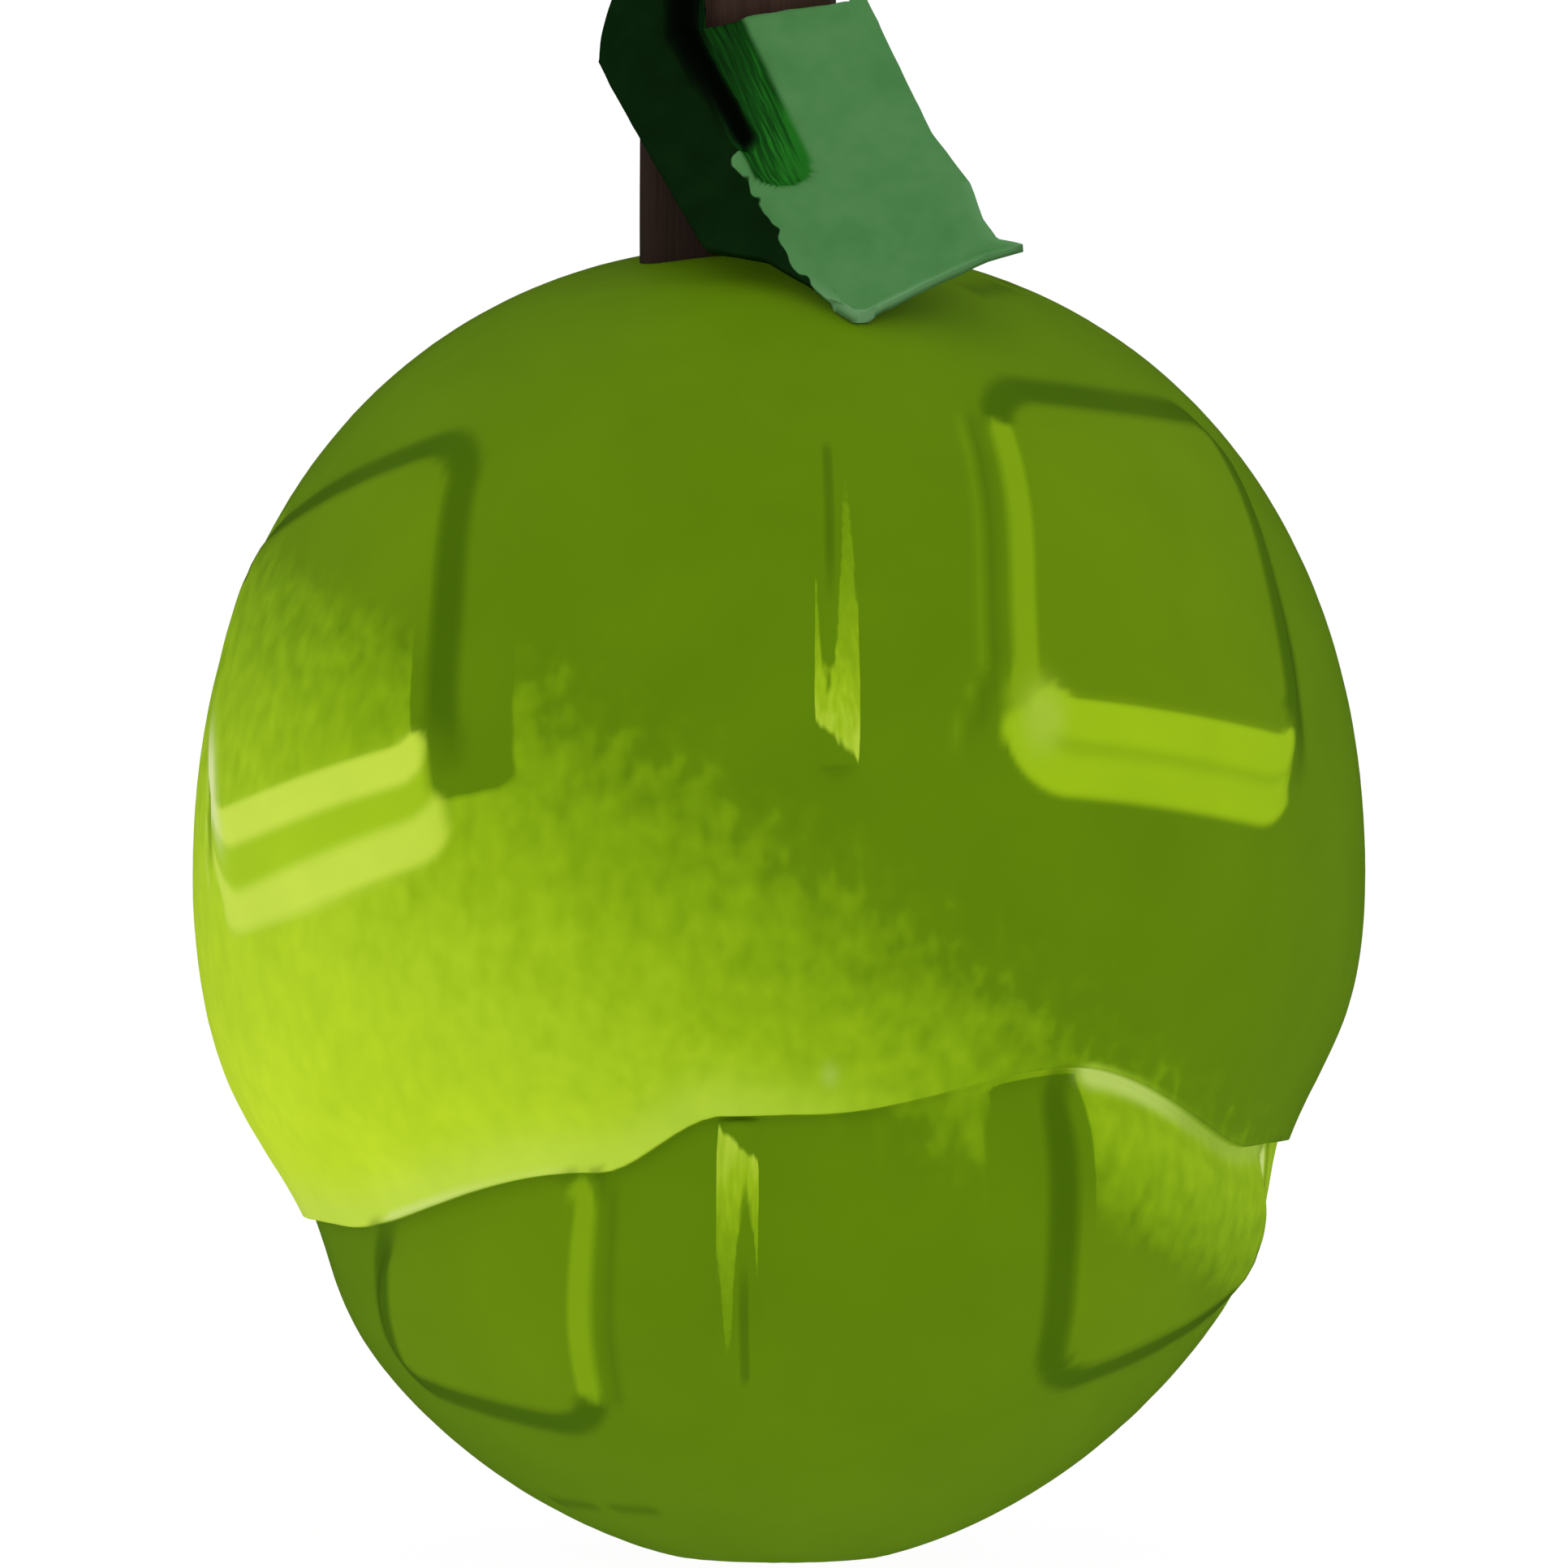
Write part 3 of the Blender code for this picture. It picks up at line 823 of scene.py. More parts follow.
    def panel_slopes(
        self, ring: Ring, panel: tuple[float, float], bearing: Reals, height: Reals, lines: Sequence[Reals]
    ) -> Slopes:
        """Where places are on one panel.

        Args:
            ring: Which ring the panel is in.
            panel: The bearing of its middle and half its width.
            bearing: Pattern bearings.
            height: Heights.
            lines: Heights of its foot and edge at the waist end, and of its far edge and foot.

        Returns:
            The places on the panel.
        """
        waist_foot, waist_edge, far_edge, far_foot = lines
        centre, half = panel
        off = wrapped(bearing - centre) * ring.value
        rightward = np.sin(np.radians(bearing))
        return Slopes(
            waist=(waist_edge - height) * ring.value,
            far=(height - far_edge) * ring.value,
            lit=(-off - half) * self.degree(),
            dark=(off - half) * self.degree(),
            waist_width=np.abs(waist_foot - waist_edge),
            far_width=np.abs(far_foot - far_edge),
            side_width=self.panel_side_angle * self.degree(),
            corner=self.panel_corner,
            rightward=rightward,
            treads=tuple(middle + swing * rightward for middle, swing in self.upper_treads),
        )

    def marks(self, bearing: Reals, height: Reals) -> dict[str, Reals]:
        """The dark dashes near the crown and the foot, and one pale spot.

        Args:
            bearing: Pattern bearings.
            height: Heights.

        Returns:
            The tones.
        """
        dark = np.zeros_like(height)
        for level, start, end in self.dashes:
            dash = self.dash_strength * np.exp(-(((height - level) / self.dash_half_width) ** 2))
            begun = softly(wrapped(bearing), start - 1, start + 1)
            ended = softly(wrapped(bearing), end - 1, end + 1)
            dark = np.maximum(dark, dash * begun * (1 - ended))
        off = wrapped(bearing - self.spot[0]) * self.degree()
        away = np.hypot(off, (height - self.spot[1]) * self.spot_stretch) / self.spot_radius
        return {"dark": dark, "gleam": self.spot_strength * np.exp(-(away**2))}

    def panel_tones(self, slopes: Slopes, ring: Ring) -> dict[str, Reals]:
        """One panel's relief and tones.

        Args:
            slopes: How far down each of its slopes the places are.
            ring: Which ring the panel is in.

        Returns:
            The relief and the tones.
        """
        up = ring is Ring.UPPER
        start, end, foot = slopes.treads
        reach, endward = slopes.reach()
        treads = (between(reach, 0, start) + between(reach, end, foot)) / 2
        on_steps = endward * (slopes.waist > slopes.far) * up
        down = np.clip(reach + on_steps * (treads - reach), 0.0, 1.0)

        # The lower panels' faces look as if they ran on to the waist.
        waist = slopes.waist / slopes.waist_width
        if not up:
            reach, endward = replace(slopes, waist=slopes.waist - slopes.waist_width).reach()
        dark, lit = slopes.dark / slopes.side_width, slopes.lit / slopes.side_width
        waistward = endward * (slopes.waist > slopes.far)
        farward = endward - waistward

        # The slope to the waist has painted highlights, in two bands with a tread between them.
        ends = 1 - softly(dark, -0.3, 0.3 + 0.6 * softly(waist, 0.4, 0.6))
        tread = softly(waistward, 0.3, 0.6) * softly(reach, -0.03, 0.08) * ends * up
        tread *= 1 - softly(reach, foot - 0.14, foot + 0.02)
        bands = np.maximum(
            1 - softly(reach, start - 0.12, start + 0.06), 0.8 * softly(reach, end - 0.08, end + 0.12)
        )

        # The side towards the painted light has a painted highlight too, and the far end and the other side
        # have painted shade.
        litward = (1 - softly(farward, 0.03, 0.18)) * (1 - softly(waistward, 0.3, 0.6)) * (lit > dark)
        side = litward * softly(reach, -0.05, 0.25) * (1 - softly(reach, 0.65, 0.95))
        dots = 0.35 * np.exp(-(((reach - 1.8) / 0.16) ** 2)) * litward * up
        inner = -0.1 - 0.2 * endward - 0.9 * (1 - endward) * softly(np.abs(slopes.rightward), 0.5, 0.7)
        outer = 1.25 - 0.25 * endward
        shadow = softly(reach, inner, inner + 0.6) * (1 - softly(reach, outer - 0.5, outer + 0.2))
        shadow = shadow * (1 - litward) * (1 - waistward) * (1 - softly(waist, 0.25, 0.6) * up)
        # A thin line of painted shade just outside the lit side.
        fine = 0.5 * litward * softly(reach, 0.9, 1.15) * (1 - softly(reach, 1.4, 1.75))
        # A painted highlight on the lower panels' slope up to the waist.
        rim = softly(waist, 0.3, 1.0) * (1 - softly(dark, -0.9, -0.1)) * (1 - softly(lit, -0.5, 0.5))
        rim *= 0.35 + 0.6 * softly(dark, -7.0, -2.0)

        # Beyond the dark side the body stays in its shade, as far as the panel reaches.
        shade = softly(dark, -0.35, -0.05) * (1 - softly(dark, 2.2, 3.2))
        shade *= 1 - (softly(waist, 0.40, 0.62) if up else softly(waist, 0.9, 1.0))
        shade *= 1 - softly(slopes.far / slopes.far_width, 0.5, 1.5)

        # The corner between the lit side and the bands has a soft painted highlight, wider on the left.
        middle, spread = 0.4 + 1.6 * slopes.rightward, 1.75 - 0.65 * slopes.rightward
        gleam_down = (slopes.waist / MILLIMETRE - middle) / spread
        gleam_out = (slopes.lit / MILLIMETRE + 0.1) / 0.9
        return {
            "panel": 1 - down,
            "face": 1 - softly(reach, 0.0, 0.2),
            "band": tread * bands,
            "tread": tread,
            "side": np.maximum(side, dots),
            "dark": np.maximum(shadow, fine),
            "shade": shade,
            "gleam": np.exp(-(gleam_down**2) - gleam_out**2) * (1.0 if up else 0.0),
            "rim": np.zeros_like(reach) if up else rim,
        }

    def ridge_tones(
        self, ring: Ring, bearing: Reals, height: Reals, waist_foot: Reals, far_edge: Reals
    ) -> dict[str, Reals]:
        """The relief and tones of one ring's ridges.

        Args:
            ring: Which ring.
            bearing: Pattern bearings.
            height: Heights.
            waist_foot: Height of the panels' foot at the waist end.
            far_edge: Height of their faces' far edge.

        Returns:
            The relief and the tones.
        """
        up = ring is Ring.UPPER
        first = self.upper_ridge_bearing if up else self.lower_ridge_bearing
        spacing = 360.0 / self.ridges_round
        off = wrapped(bearing - first, spacing) * ring.value
        start = waist_foot + self.upper_ridge_start if up else waist_foot
        end = far_edge - self.ridge_fade_short * ring.value
        run = (height - end) / (start - end)
        across = off / self.ridge_half_angle
        inside = (run >= 0) * (run <= 1)
        ridge = np.clip(np.minimum(run, 1.0 - np.abs(across)), 0, 1) * inside

        # Painted highlight threads grow into one wedge, whose waist end is cut on a slant.
        places, starts = zip(*self.highlight_starts)
        grown = run - np.interp(across, places, starts)
        cut = 4 * (0.85 + 0.075 * (across + 1) - run)
        # A short line of painted shade along the ridge.
        line = 1 - softly(np.abs(across + 0.3), 0.10, 0.30)
        line *= softly(run, 0.0, 0.06) * (1 - softly(run, 0.30, 0.60))
        return {
            "ridge": ridge,
            "ridge_highlight": np.clip(np.minimum(grown, cut), -1.0, 1.0),
            "ridge_shade_line": line * 0.85,
            "run": np.clip(run, 0, 1) * inside,
        }

    def leaning(self, bearing: Reals, height: Reals) -> Reals:
        """Real bearings of places of the pattern, which leans out above and below its widest level.

        Args:
            bearing: Pattern bearings.
            height: Heights.

        Returns:
            The real bearings, in radians.
        """
        off = np.abs(height - self.lower_height) / MILLIMETRE
        dip, middle, spread = self.lean_dip
        lean = self.lean * off * (1 - dip * np.exp(-(((off - middle) / spread) ** 2)))
        return np.radians(bearing + lean * np.sin(np.radians(bearing)))

    def add_painted_light(self, points: Reals, above: Reals, under: Reals, paint: dict[str, Reals]) -> None:
        """Adds the tones that depend on how far inside the painted light a place is.

        Args:
            points: The places.
            above: Their heights above the waist.
            under: Whether each is in the part that is set in under the waist.
            paint: The tones, which are added to.
        """
        # The painted light is one side of a slanting plane; painted shade holds it back beside the panels'
        # dark sides.
        inward = points @ np.array(self.light_plane_normal)
        lower, upper = self.lower_light_gain * (inward - self.lower_light_plane), self.upper_light_plane - inward
        depth = np.where(under, lower, upper) / MILLIMETRE
        paint["depth"] = depth
        paint["painted_light"] = depth - self.shade_depth * paint.pop("shade")
        paint["face"] = paint["face"] * (1 - softly(depth, -1.0, 3.0))
        paint["rim"] = paint["rim"] * softly(depth, -1.5, 1.5)
        # Just above the waist, inside the painted light, a painted highlight.
        near = np.maximum(above, 0) / self.pale_height
        paint["pale"] = self.pale_strength * np.exp(-(near**2)) * ~under * softly(depth, 3.0, 12.0)

    def build(self) -> bpy.types.Object:
        """Builds the fruit.

        Returns:
            The finished piece.
        """
        base = self.bearings()
        height = self.levels(base)
        bearing = np.broadcast_to(base, height.shape)
        plain, turn = self.plain_radius(height), self.leaning(bearing, height)
        points = np.stack([plain * np.sin(turn), -plain * np.cos(turn), height], axis=-1)
        above = height - self.waist_line(bearing)
        under = above < -self.waist_step_height / 2
        paint = self.pattern(bearing, height)
        self.add_painted_light(points, above, under, paint)

        # The relief dies away at the flat spot and at the crown.
        fade = np.clip(plain / self.rest_radius - 1.0, 0.0, 1.0)
        paint["panel"] = paint["panel"] * fade
        paint["ridge"] = paint["ridge"] * fade
        paint["waist"] = -fade * np.exp(-((above / self.waist_half_width) ** 2) / 2)
        paint["step"] = -fade * under * np.exp(np.minimum(above, 0) / self.waist_step_fade)
        poles = ((0.0, 0.0, 0.0), (0.0, 0.0, self.lower_height + self.upper_height))
        item = closed_skin("lime_rind", points, poles, paint)
        self.mould(item)
        return item

    def mould(self, item: bpy.types.Object) -> None:
        """Moves the rind by its relief, level and outwards, and roughens it with fine strokes.

        Args:
            item: The rind's mesh, with the relief painted on it.
        """
        sizes = {
            "Panel rise": self.panel_rise,
            "Ridge rise": self.ridge_rise,
            "Waist depth": self.waist_depth,
            "Waist step": self.waist_step,
            "Stroke lift": self.stroke_lift,
            "Stroke spacing": self.stroke_spacing,
            "Seed": 7.0,
        }
        moulding = Moulding("rind_relief", sizes)
        flat = {0: moulding.place, 1: (1.0, 1.0, 0.0)}
        level = add(moulding.tree, "ShaderNodeVectorMath", {"operation": "MULTIPLY"}, flat).outputs[0]
        outward = add(moulding.tree, "ShaderNodeVectorMath", {"operation": "NORMALIZE"}, {0: level})
        parts = {"panel": "Panel rise", "ridge": "Ridge rise", "waist": "Waist depth", "step": "Waist step"}
        moulding.move(outward.outputs[0], moulding.total(parts))
        strokes = moulding.grain("Stroke lift", "Stroke spacing", "Seed", (1, 1, self.stroke_height))
        moulding.move(moulding.normal, strokes)
        moulding.apply(item, self.finish.make())


# The stem -------------------------------------------------------------------------


@dataclass(frozen=True)
class StemFinish:
    """Dried woody stem, as picked: dull brown bark with fine upright grain and a cut end.

    The eye sees a dark, warm brown that is nearly black in the grain.
    """

    # Bark fibres are 0.28 mm wide and many times as long, and dark blotches 2.2 mm wide.
    fibres: Grain = Grain("fibres", 0.00028, (1.0, 1.0, 16.0), 3.0)
    blotch: Grain = Grain("blotch", 0.0022, (1.0, 1.0, 2.0))

    def make(self) -> bpy.types.Material:
        """Makes the material.

        Returns:
            The material.
        """
        layers = (
            Layer("fibres", ((0.30, "#3A2820"), (0.55, "#48332A"), (0.75, "#523B30"))),
            Layer("blotch", ((0.0, "#33241D"), (1.0, "#33241D")), "blotch", (0.45, 0.95)),
            # Painted shade, darker towards the foot.
            Layer("foot", ((0.0, "#33241D"), (1.0, "#2F211B")), "foot", (0.0, 1.1)),
            Layer("ring", ((0.0, "#5A4231"), (0.5, "#4A3527"), (1.0, "#3A291F")), "cut"),
        )
        skin = Skin("dry_lime_stem", 1.50, 0.8, 0.1, (self.fibres, self.blotch))
        return skin.finish(skin.paint(layers), "fibres", 0.00012, (0.88, 0.74))


@dataclass(frozen=True)
class Stem:
    """The stem: a boxy woody post whose foot sits on the crown."""

    squareness: float = 7.0
    edge: float = 0.0005
    edge_steps: int = 4
    sink: float = 0.0003
    sides: int = 144
    foot_shares: tuple[float, ...] = (0.25, 0.6, 0.9)
    levels: int = 61
    end_rings: int = 14
    end_ring_dip: float = 0.00006
    foot_shade: float = 1.6
    fibre_lift: float = 0.00022
    fibre_spacing: float = 0.0011
    finish: StemFinish = field(default_factory=StemFinish)

    def build(self, fruit: Fruit) -> bpy.types.Object:
        """Builds the stem between the CAD stem's corners.

        Args:
            fruit: The fruit that it stands on.

        Returns:
            The finished piece.
        """
        low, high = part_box("stem")
        middle, size = (low + high) / 2, high - low
        turn = np.linspace(0.0, 2 * math.pi, self.sides, endpoint=False)
        across = np.stack([np.cos(turn), np.sin(turn)])
        reach = np.sum(np.abs(across) ** self.squareness, axis=0) ** (-1 / self.squareness)
        across = across * reach / 2

        # Rings under the foot, up the sides, over the edge and in over the cut end.
        narrow = 1.0 - 2 * self.edge / size.y
        under, walls = np.zeros(len(self.foot_shares)), np.zeros(self.levels)
        bend = math.pi / 2 * np.arange(1, self.edge_steps + 1) / self.edge_steps
        ring = np.arange(1, self.end_rings)
        edge, end = np.ones(bend.size), np.ones(ring.size)
        edge_share = 1 - (1 - narrow) * (1 - np.cos(bend))
        shares = [self.foot_shares, walls + 1, edge_share, narrow * (1 - ring / self.end_rings)]
        share = np.concatenate(shares)[:, None]
        up = np.concatenate([under, np.linspace(0, 1, self.levels), edge, end])[:, None]
        over = [under, walls, self.edge * np.sin(bend), self.edge - self.end_ring_dip * (ring % 2)]
        x = middle.x + size.x * across[0] * share
        y = middle.y + size.y * across[1] * share
        foot = fruit.crown_height(np.hypot(x, y)) - self.sink
        height = foot + (high.z - self.edge - foot) * up + np.concatenate(over)[:, None]

        cut = np.concatenate([under, walls, bend / bend[-1], end])[:, None]
        tone = np.concatenate([under, walls, edge / 2, ring % 2])[:, None]
        paint = {
            "cut": np.broadcast_to(cut, x.shape),
            "ring": np.broadcast_to(tone, x.shape),
            # Painted shade grows towards the foot.
            "foot": np.clip((high.z - height) / size.z * self.foot_shade, 0.0, 1.0),
        }
        poles = ((middle.x, middle.y, float(foot[0].mean())), (middle.x, middle.y, high.z))
        item = closed_skin("lime_stem", np.stack([x, y, height], axis=-1), poles, paint)

        sizes = {"Fibre lift": self.fibre_lift, "Fibre spacing": self.fibre_spacing, "Seed": 3.0}
        moulding = Moulding("stem_fibres", sizes)
        fibres = moulding.grain("Fibre lift", "Fibre spacing", "Seed", (1.0, 1.0, 14.0))
        moulding.move(moulding.normal, fibres)
        moulding.apply(item, self.finish.make())
        return item


# The leaf -------------------------------------------------------------------------


@dataclass(frozen=True)
class LeafFinish:
    """A leathery lime leaf: matte, with painted shade that makes the half turned away near black, pale on
    the other.

    The eye sees a dusty mid green on the right half, paler towards the rim and the tip, a groove
    near black with painted shade, and a raised midrib with fine dark stripes that brighten to a
    painted highlight at its round end.
    """

    # The tone's torn edge has jags of 0.7 mm, and the blade's clouds are 1.6 mm wide.
    jags: Grain = Grain("jags", 0.0007, detail=0.0)
    mottle: Grain = Grain("mottle", 0.0016, detail=3.0)

    def make(self) -> bpy.types.Material:
        """Makes the material; what the tones follow is in millimetres.

        Returns:
            The material.
        """
        pale = ((0.3, "#467B44"), (0.5, "#4B8049"), (0.7, "#50834D"))
        striped = ((0.25, "#031603"), (0.50, "#0A360A"), (0.72, "#0F480F"), (0.95, "#1F6E1C"))
        layers = (
            # Painted shade: the near-black under all, left showing on the half turned away.
            Layer("mottle", ((0.3, "#042004"), (0.7, "#072606"))),
            Layer("mottle", pale, "right", (-0.05, 0.05), "jags", 0.0, 0.9),
            Layer("along", ((12.0, "#568854"), (14.5, "#6F9C6C")), "rim"),
            # The midrib's stripes brighten to a painted highlight at its round end.
            Layer("stripes", striped, "rib", (0.1, 0.9)),
            # Painted shade in the groove.
            Layer("groove_shade", ((0.0, "#031203"), (1.0, "#010701")), "groove_shade", (0.0, 0.9)),
        )
        skin = Skin("matte_lime_leaf", 1.45, 0.62, 0.05, (self.jags, self.mottle))
        self.add_stripes(skin)
        return skin.finish(skin.paint(layers), "mottle", 0.00008, (0.70, 0.58))

    def add_stripes(self, skin: Skin) -> None:
        """Adds fine stripes along the midrib, which brighten to its round end as a painted highlight.

        Args:
            skin: The material that takes them.
        """
        along, across = (
            add(skin.tree, "ShaderNodeAttribute", {"attribute_name": name}).outputs["Fac"]
            for name in ("along", "across")
        )
        place = add(skin.tree, "ShaderNodeCombineXYZ", {}, {"X": across, "Y": along}).outputs[0]
        # A stripe is 0.18 mm wide and about 3 mm long.
        drawn = add(skin.tree, "ShaderNodeMapping", {}, {"Vector": place, "Scale": (5.5, 0.35, 1.0)})
        links = {"Vector": drawn.outputs[0], "Scale": 1.0}
        value = add(skin.tree, "ShaderNodeTexNoise", {}, links).outputs["Fac"]
        for distance, gain in ((along, 0.055), (across, 0.10)):
            links = {0: distance, 1: gain, 2: value}
            value = add(skin.tree, "ShaderNodeMath", {"operation": "MULTIPLY_ADD"}, links).outputs[0]
        skin.values["stripes"] = value


@dataclass(frozen=True)
class Hang:
    """Where the leaf hangs: its foot on the stem, and the ways in which its parts run.

    The notch is where the ears start, as a share of the length, and the clear side is
    how far to the right the blade has to be to pass the stem.
    """

    foot: Vector
    down: Vector
    left: Vector
    right: Vector
    front: Vector
    notch: float
    clear_side: float


@dataclass(frozen=True)
class Row:
    """One row of the blade's points, which runs out from the midrib.

    It goes from near to far, and the blade ends at the margin; all three are distances
    from the midrib.  The side is -1 on the left and 1 on the right.
    """

    start: Vector
    side: int
    along: float
    near: float
    far: float
    margin: float


@dataclass(frozen=True)
class Leaf:
    """The leaf: folded on its midrib, hanging from the stem's front over the crown."""

    length: float = 0.0143
    thickness: float = 0.0006
    left_width: float = 0.0055
    right_width: float = 0.0075
    left_lobe: float = 0.0052
    right_lobe: float = 0.0030
    hang_height: float = 0.0087
    foot_offset: float = 0.0009
    bow: float = 0.0006
    gap: float = 0.0003
    slack: float = 0.0001
    rest: float = 0.0001
    slope_sample: float = 0.00005
    hang: Triple = (0.408, -0.476, -0.782)
    left_run: Triple = (-0.93, 0.12, -0.35)
    right_run: Triple = (0.99, 0.0, 0.14)
    left_shape: Pairs = (
        (0, 0.87), (0.59, 0.77), (0.63, 0.62), (0.69, 0.39), (0.83, 0.16), (1, 0)
    )
    right_shape: Pairs = (
        (0, 0.93), (0.38, 0.93), (0.57, 1.0), (0.70, 0.97), (0.78, 0.99), (0.815, 1.12), (0.83, 0.90),
        (0.90, 0.50), (1, 0),
    )
    rows: int = 110
    ear_rows: int = 36
    columns: int = 26
    rib_lift: float = 0.00055
    groove_depth: float = 0.0004
    vein_lift: float = 0.00004

    # These are in millimetres along the midrib or to its right.  The groove's centre and
    # half width each have a start and a rise, and the border is the pale tone's left edge.
    rib_half_width: float = 1.5
    rib_centre: float = 0.3
    rib_end: float = 7.2
    groove_centre: tuple[float, float] = (-1.0, 0.085)
    groove_half_width: tuple[float, float] = (0.72, -0.035)
    groove_end: float = 4.1
    rim_width: float = 0.7
    rim_start: tuple[float, float] = (8.0, -0.8)
    inner_width: float = 0.8
    border: Pairs = ((3.4, 1.0), (4.9, -1.47), (10.9, -0.99), (14.3, -0.6))
    vein_spacing: float = 2.1
    vein_slant: float = 0.9
    finish: LeafFinish = field(default_factory=LeafFinish)

    TONES = ("along", "across", "rim", "rib", "groove_shade", "right", "inner")

    def hang_from(self, fruit: Fruit) -> Hang:
        """Finds the leaf's place from the CAD stem and the crown.

        Args:
            fruit: The fruit that it lies on.

        Returns:
            The place.
        """
        low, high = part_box("stem")
        down, left, right = (Vector(way).normalized() for way in (self.hang, self.left_run, self.right_run))
        ahead = self.gap + self.thickness + self.slack
        foot = Vector((
            (low.x + high.x) / 2 - self.foot_offset,
            low.y - ahead - self.bow,
            fruit.crown_height(0.0) + self.hang_height,
        ))
        notch = (low.y - ahead - foot.y) / (self.length * down.y)
        clear_side = high.x + self.gap + self.thickness / 2
        return Hang(foot, down, left, right, right.cross(down).normalized(), notch, clear_side)

    def midrib(self, hang: Hang, along: float) -> Vector:
        """The midrib's place at a share of the length, bowed to the front."""
        bow = self.bow * 4 * max(0.0, along * (1 - along))
        return hang.foot + hang.down * self.length * along + hang.front * bow

    @staticmethod
    def share(shape: Pairs, along: float) -> float:
        """A half's width, as a share, at a share of the length."""
        return float(np.interp(max(0.0, along), *zip(*shape)))

    def drape(self, fruit: Fruit, point: Vector) -> Vector:
        """Lifts a point that would lie too close to the crown.

        Args:
            fruit: The fruit.
            point: The point.

        Returns:
            The point at its final height.
        """
        distance = math.hypot(point.x, point.y)
        height = float(fruit.crown_height(distance))
        slope = (fruit.crown_height(distance + self.slope_sample) - height) / self.slope_sample
        clear = (self.rest + self.thickness / 2) * math.hypot(1.0, slope)
        return Vector((point.x, point.y, max(point.z, height + clear)))

    def relief(self, along: float, across: float) -> tuple[float, float]:
        """Shares of the raised midrib and of the groove on its left.

        Args:
            along: Millimetres along the midrib.
            across: Millimetres to its right.

        Returns:
            The two shares, from 0 to 1.
        """
        past = max(0.0, along - (self.rib_end - self.rib_half_width))
        raised = 1 - (math.hypot(across - self.rib_centre, past) / self.rib_half_width) ** 4
        beyond = max(0.0, along - self.groove_end)
        centre = self.groove_centre[0] + self.groove_centre[1] * max(along, 0.0)
        half = self.groove_half_width[0] + self.groove_half_width[1] * along
        dip = 1 - (math.hypot(across - centre, beyond) / half) ** 2
        return max(0.0, raised), max(0.0, dip)

    def add_point(
        self, bm: bmesh.types.BMesh, fruit: Fruit, hang: Hang, row: Row, share: float
    ) -> bmesh.types.BMVert:
        """Adds one of the blade's points, with its tones.

        Args:
            bm: The blade's mesh.
            fruit: The fruit that it lies on.
            hang: Where the leaf hangs.
            row: The row that the point is in.
            share: How far it is from the row's near end to its far one.

        Returns:
            The point.
        """
        reach = row.near + (row.far - row.near) * share
        along, across = row.along * self.length / MILLIMETRE, row.side * reach / MILLIMETRE
        raised, dip = self.relief(along, across)
        run = hang.right if row.side > 0 else hang.left
        lift = self.rib_lift * raised - self.groove_depth * dip
        vert = bm.verts.new(self.drape(fruit, row.start + run * reach + hang.front * lift))
        inward = (row.margin - reach) / MILLIMETRE
        on_rim = along > self.rim_start[0] and across > self.rim_start[1]
        rim = max(0.0, 1 - inward / self.rim_width) * on_rim
        right = across - self.share(self.border, along)
        tones = (along, across, rim, min(1.0, raised * 3), dip, right, min(1.0, inward / self.inner_width))
        for name, value in zip(self.TONES, tones):
            vert[bm.verts.layers.float[name]] = value
        return vert

    def halves(self, hang: Hang) -> list[list[Row]]:
        """Rows of the left half, and of the right half's inner and outer parts.

        Args:
            hang: Where the leaf hangs.

        Returns:
            The three lists of rows, from the stem down.
        """
        inner_part = self.ear_start(hang) / self.ear_end(hang)
        left, inner, outer = [], [], []
        for i in range(self.rows + 1):
            along = hang.notch + (1 - hang.notch) * i / self.rows
            start = self.midrib(hang, along)
            reach = self.left_width * self.share(self.left_shape, along)
            left.append(Row(start, -1, along, 0.0, reach, reach))
            width = self.right_width * self.share(self.right_shape, along)
            reach = width if along > 0 else self.ear_end(hang)
            inner.append(Row(start, 1, along, 0.0, reach * inner_part, reach))
            outer.append(Row(start, 1, along, reach * inner_part, reach, reach))
        return [left, inner, outer]

    def ear_start(self, hang: Hang) -> float:
        """How far out from the midrib the right ear starts, to pass the stem."""
        return (hang.clear_side - self.midrib(hang, hang.notch).x) / hang.right.x

    def ear_end(self, hang: Hang) -> float:
        """How far out the right ear ends."""
        return max(self.right_width * self.right_shape[0][1], self.ear_start(hang) + self.thickness)

    def left_ear(self, hang: Hang) -> list[Row]:
        """Rows of the left ear, which stands in front of the stem and has a round end.

        Args:
            hang: Where the leaf hangs.

        Returns:
            The rows, from the notch up.
        """
        top = self.left_width * self.left_shape[0][1]
        rows = []
        for i in range(self.ear_rows + 1):
            turn = math.pi / 2 * i / self.ear_rows
            rise = self.left_lobe * math.sin(turn)
            near = top / 3 * (1 - math.cos(turn))
            far = near + (top - near) * math.cos(turn)
            start = self.midrib(hang, hang.notch) + Vector((0.0, 0.0, rise))
            rows.append(Row(start, -1, hang.notch - rise / self.length, near, far, far))
        return rows

    def right_ear(self, hang: Hang) -> list[Row]:
        """Rows of the right ear, which runs up and back past the stem's side.

        Args:
            hang: Where the leaf hangs.

        Returns:
            The rows, from the notch up.
        """
        width = self.ear_end(hang) - self.ear_start(hang)
        rows = []
        for i in range(self.ear_rows + 1):
            up = i / self.ear_rows
            start = self.midrib(hang, hang.notch) - hang.down * self.right_lobe * up
            near = (hang.clear_side - start.x) / hang.right.x
            far = near + width * (1 - up * up)
            rows.append(Row(start, 1, hang.notch - self.right_lobe * up / self.length, near, far, far))
        return rows

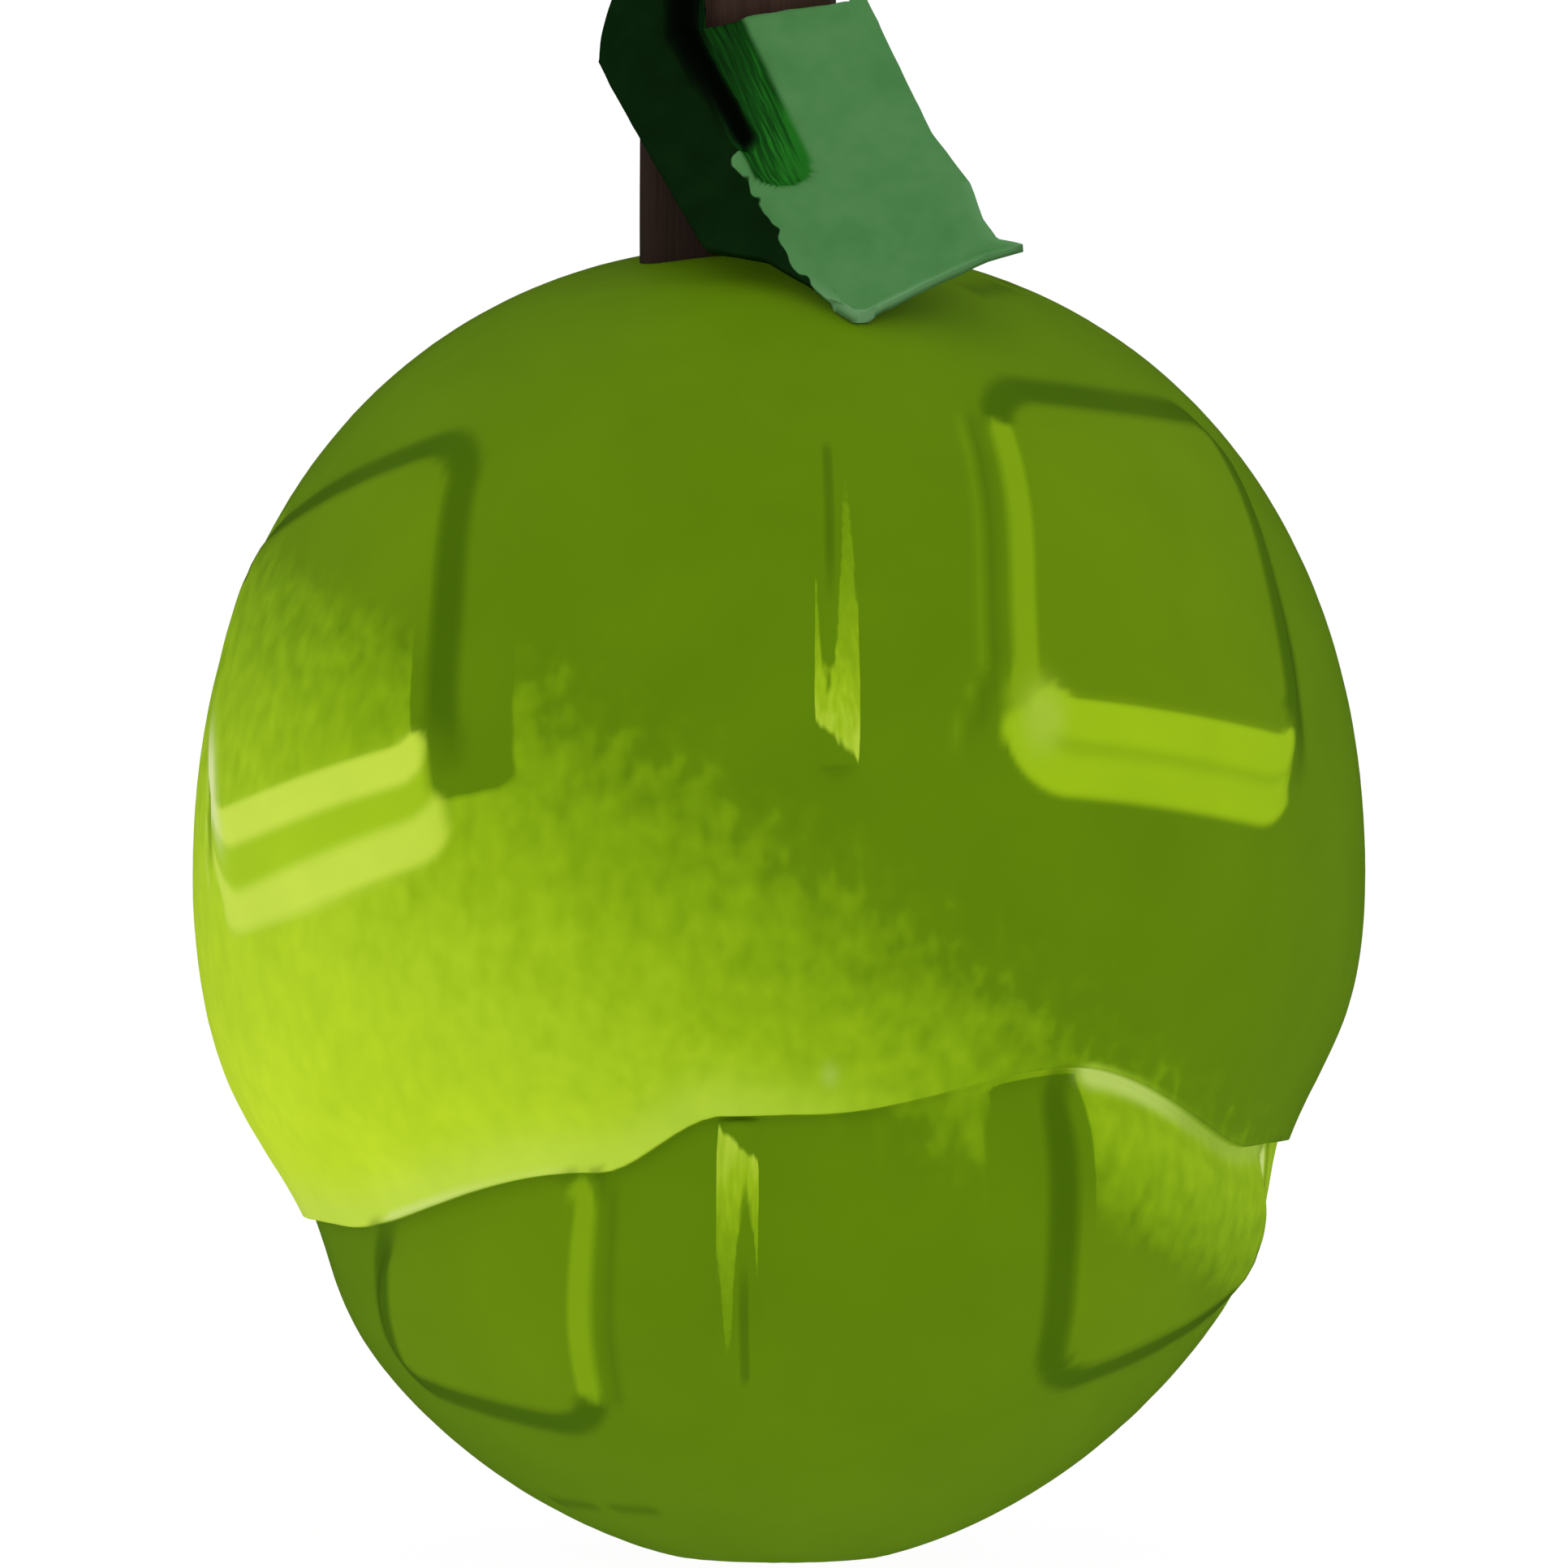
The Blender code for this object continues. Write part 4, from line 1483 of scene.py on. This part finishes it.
    def build(self, fruit: Fruit) -> bpy.types.Object:
        """Builds the leaf.

        Args:
            fruit: The fruit that it lies on.

        Returns:
            The finished piece.
        """
        hang = self.hang_from(fruit)
        bm = bmesh.new()
        for name in self.TONES:
            bm.verts.layers.float.new(name)
        shares = [i / self.columns for i in range(self.columns + 1)]
        for rows in (*self.halves(hang), self.left_ear(hang), self.right_ear(hang)):
            grid = [[self.add_point(bm, fruit, hang, row, share) for share in shares] for row in rows]
            for upper, lower in zip(grid, grid[1:]):
                for i in range(self.columns):
                    bm.faces.new((upper[i], upper[i + 1], lower[i + 1], lower[i]))
        bmesh.ops.remove_doubles(bm, verts=bm.verts, dist=0.00001)
        bmesh.ops.recalc_face_normals(bm, faces=bm.faces)
        mesh = bpy.data.meshes.new("lime_leaf")
        bm.to_mesh(mesh)
        bm.free()
        mesh.shade_smooth()
        item = new_item("lime_leaf", mesh)
        self.add_veins(item)
        wall = item.modifiers.new("thickness", "SOLIDIFY")
        wall.thickness = self.thickness
        wall.offset = 0.0
        settle(item)
        return item

    def add_veins(self, item: bpy.types.Object) -> None:
        """Raises the side veins, evenly spaced along the midrib and level at the margin.

        Args:
            item: The leaf's blade.
        """
        sizes = {
            "Vein lift": self.vein_lift,
            "Veins per millimetre": 2 * math.pi / self.vein_spacing,
            "Vein slant": -self.vein_slant,
        }
        moulding = Moulding("leaf_veins", sizes)
        tree, given = moulding.tree, moulding.given
        along, across, inner = (
            add(tree, "GeometryNodeInputNamedAttribute", {}, {"Name": name}).outputs["Attribute"]
            for name in ("along", "across", "inner")
        )
        value = add(tree, "ShaderNodeMath", {"operation": "ABSOLUTE"}, {0: across}).outputs[0]
        steps = (
            ("MULTIPLY_ADD", {1: given["Vein slant"], 2: along}),
            ("MULTIPLY", {1: given["Veins per millimetre"]}),
            ("COSINE", {}),
            ("MULTIPLY_ADD", {1: 0.5, 2: 0.5}),
            ("POWER", {1: 6.0}),
            ("MULTIPLY", {1: given["Vein lift"]}),
            ("MULTIPLY", {1: inner}),
        )
        for operation, links in steps:
            value = add(tree, "ShaderNodeMath", {"operation": operation}, {0: value, **links}).outputs[0]
        moulding.move(moulding.normal, value)
        moulding.apply(item, self.finish.make())


# The studio -----------------------------------------------------------------------


@dataclass(frozen=True)
class Studio:
    """A pale floor, even white light from all round, and a long lens."""

    elevation: float = 5.0
    lens: float = 1000.0
    sensor: float = 36.0
    view_width: float = 0.06685
    view_centre: tuple[float, float] = (0.00021, 0.03286)
    floor_radius: float = 6.0
    floor_colour: str = "#3C3C3C"
    floor_glow: float = 0.97
    light_colour: str = "#FFFFFF"
    surround: float = 1.0
    key_power: float = 0.03
    key_width: float = 0.35
    key_place: Triple = (-0.32, -0.42, 0.38)
    key_aim: Triple = (0.0, 0.0, 0.03)

    def build(self) -> None:
        """Sets up the floor, the light and the camera."""
        self.build_floor()
        self.build_light()
        self.build_camera()

    def build_floor(self) -> None:
        """Lays a round, pale floor that glows a little, like a light table."""
        mesh = bpy.data.meshes.new("floor")
        bm = bmesh.new()
        bmesh.ops.create_circle(bm, cap_ends=True, segments=96, radius=self.floor_radius)
        bm.to_mesh(mesh)
        bm.free()
        floor = new_item("floor", mesh)
        material = bpy.data.materials.new("matte_white_paper")
        material.use_nodes = True
        shader = material.node_tree.nodes["Principled BSDF"]
        shader.inputs["Base Color"].default_value = linear(self.floor_colour)
        shader.inputs["Roughness"].default_value = 0.9
        shader.inputs["Specular IOR Level"].default_value = 0.0
        shader.inputs["Emission Color"].default_value = linear(self.light_colour)
        shader.inputs["Emission Strength"].default_value = self.floor_glow
        mesh.materials.append(material)
        floor.visible_glossy = False

    def build_light(self) -> None:
        """Lights the scene evenly, with one large soft key from the upper left."""
        world = bpy.data.worlds.new("white_surround")
        world.use_nodes = True
        ground = world.node_tree.nodes["Background"]
        ground.inputs["Color"].default_value = linear(self.light_colour)
        ground.inputs["Strength"].default_value = self.surround
        world.cycles_visibility.glossy = False
        bpy.context.scene.world = world
        data = bpy.data.lights.new("key", "AREA")
        data.shape = "DISK"
        data.size = self.key_width
        data.energy = self.key_power
        key = bpy.data.objects.new("key", data)
        key.location = self.key_place
        aim = Vector(self.key_aim) - key.location
        key.rotation_euler = aim.to_track_quat("-Z", "Y").to_euler()
        bpy.context.scene.collection.objects.link(key)

    def build_camera(self) -> None:
        """Places the camera and keeps the colours plain."""
        data = bpy.data.cameras.new("camera")
        data.lens = self.lens
        data.sensor_width = self.sensor
        distance = self.view_width * self.lens / self.sensor
        data.clip_end = 100.0
        camera = bpy.data.objects.new("camera", data)
        tilt = math.radians(self.elevation)
        x, z = self.view_centre
        camera.location = (x, -distance * math.cos(tilt), z + distance * math.sin(tilt))
        camera.rotation_euler = (math.pi / 2 - tilt, 0.0, 0.0)
        bpy.context.scene.collection.objects.link(camera)
        bpy.context.scene.camera = camera
        bpy.context.scene.view_settings.view_transform = "Standard"


def main() -> None:
    """Builds the studio, the fruit, its stem and its leaf."""
    logging.basicConfig(level=logging.INFO, format="%(name)s: %(message)s")
    Studio().build()
    fruit = Fruit()
    hand_over(fruit.build(), "lime_fruit")
    hand_over(Stem().build(fruit), "stem")
    hand_over(Leaf().build(fruit), "leaf")


if __name__ == "__main__":
    main()
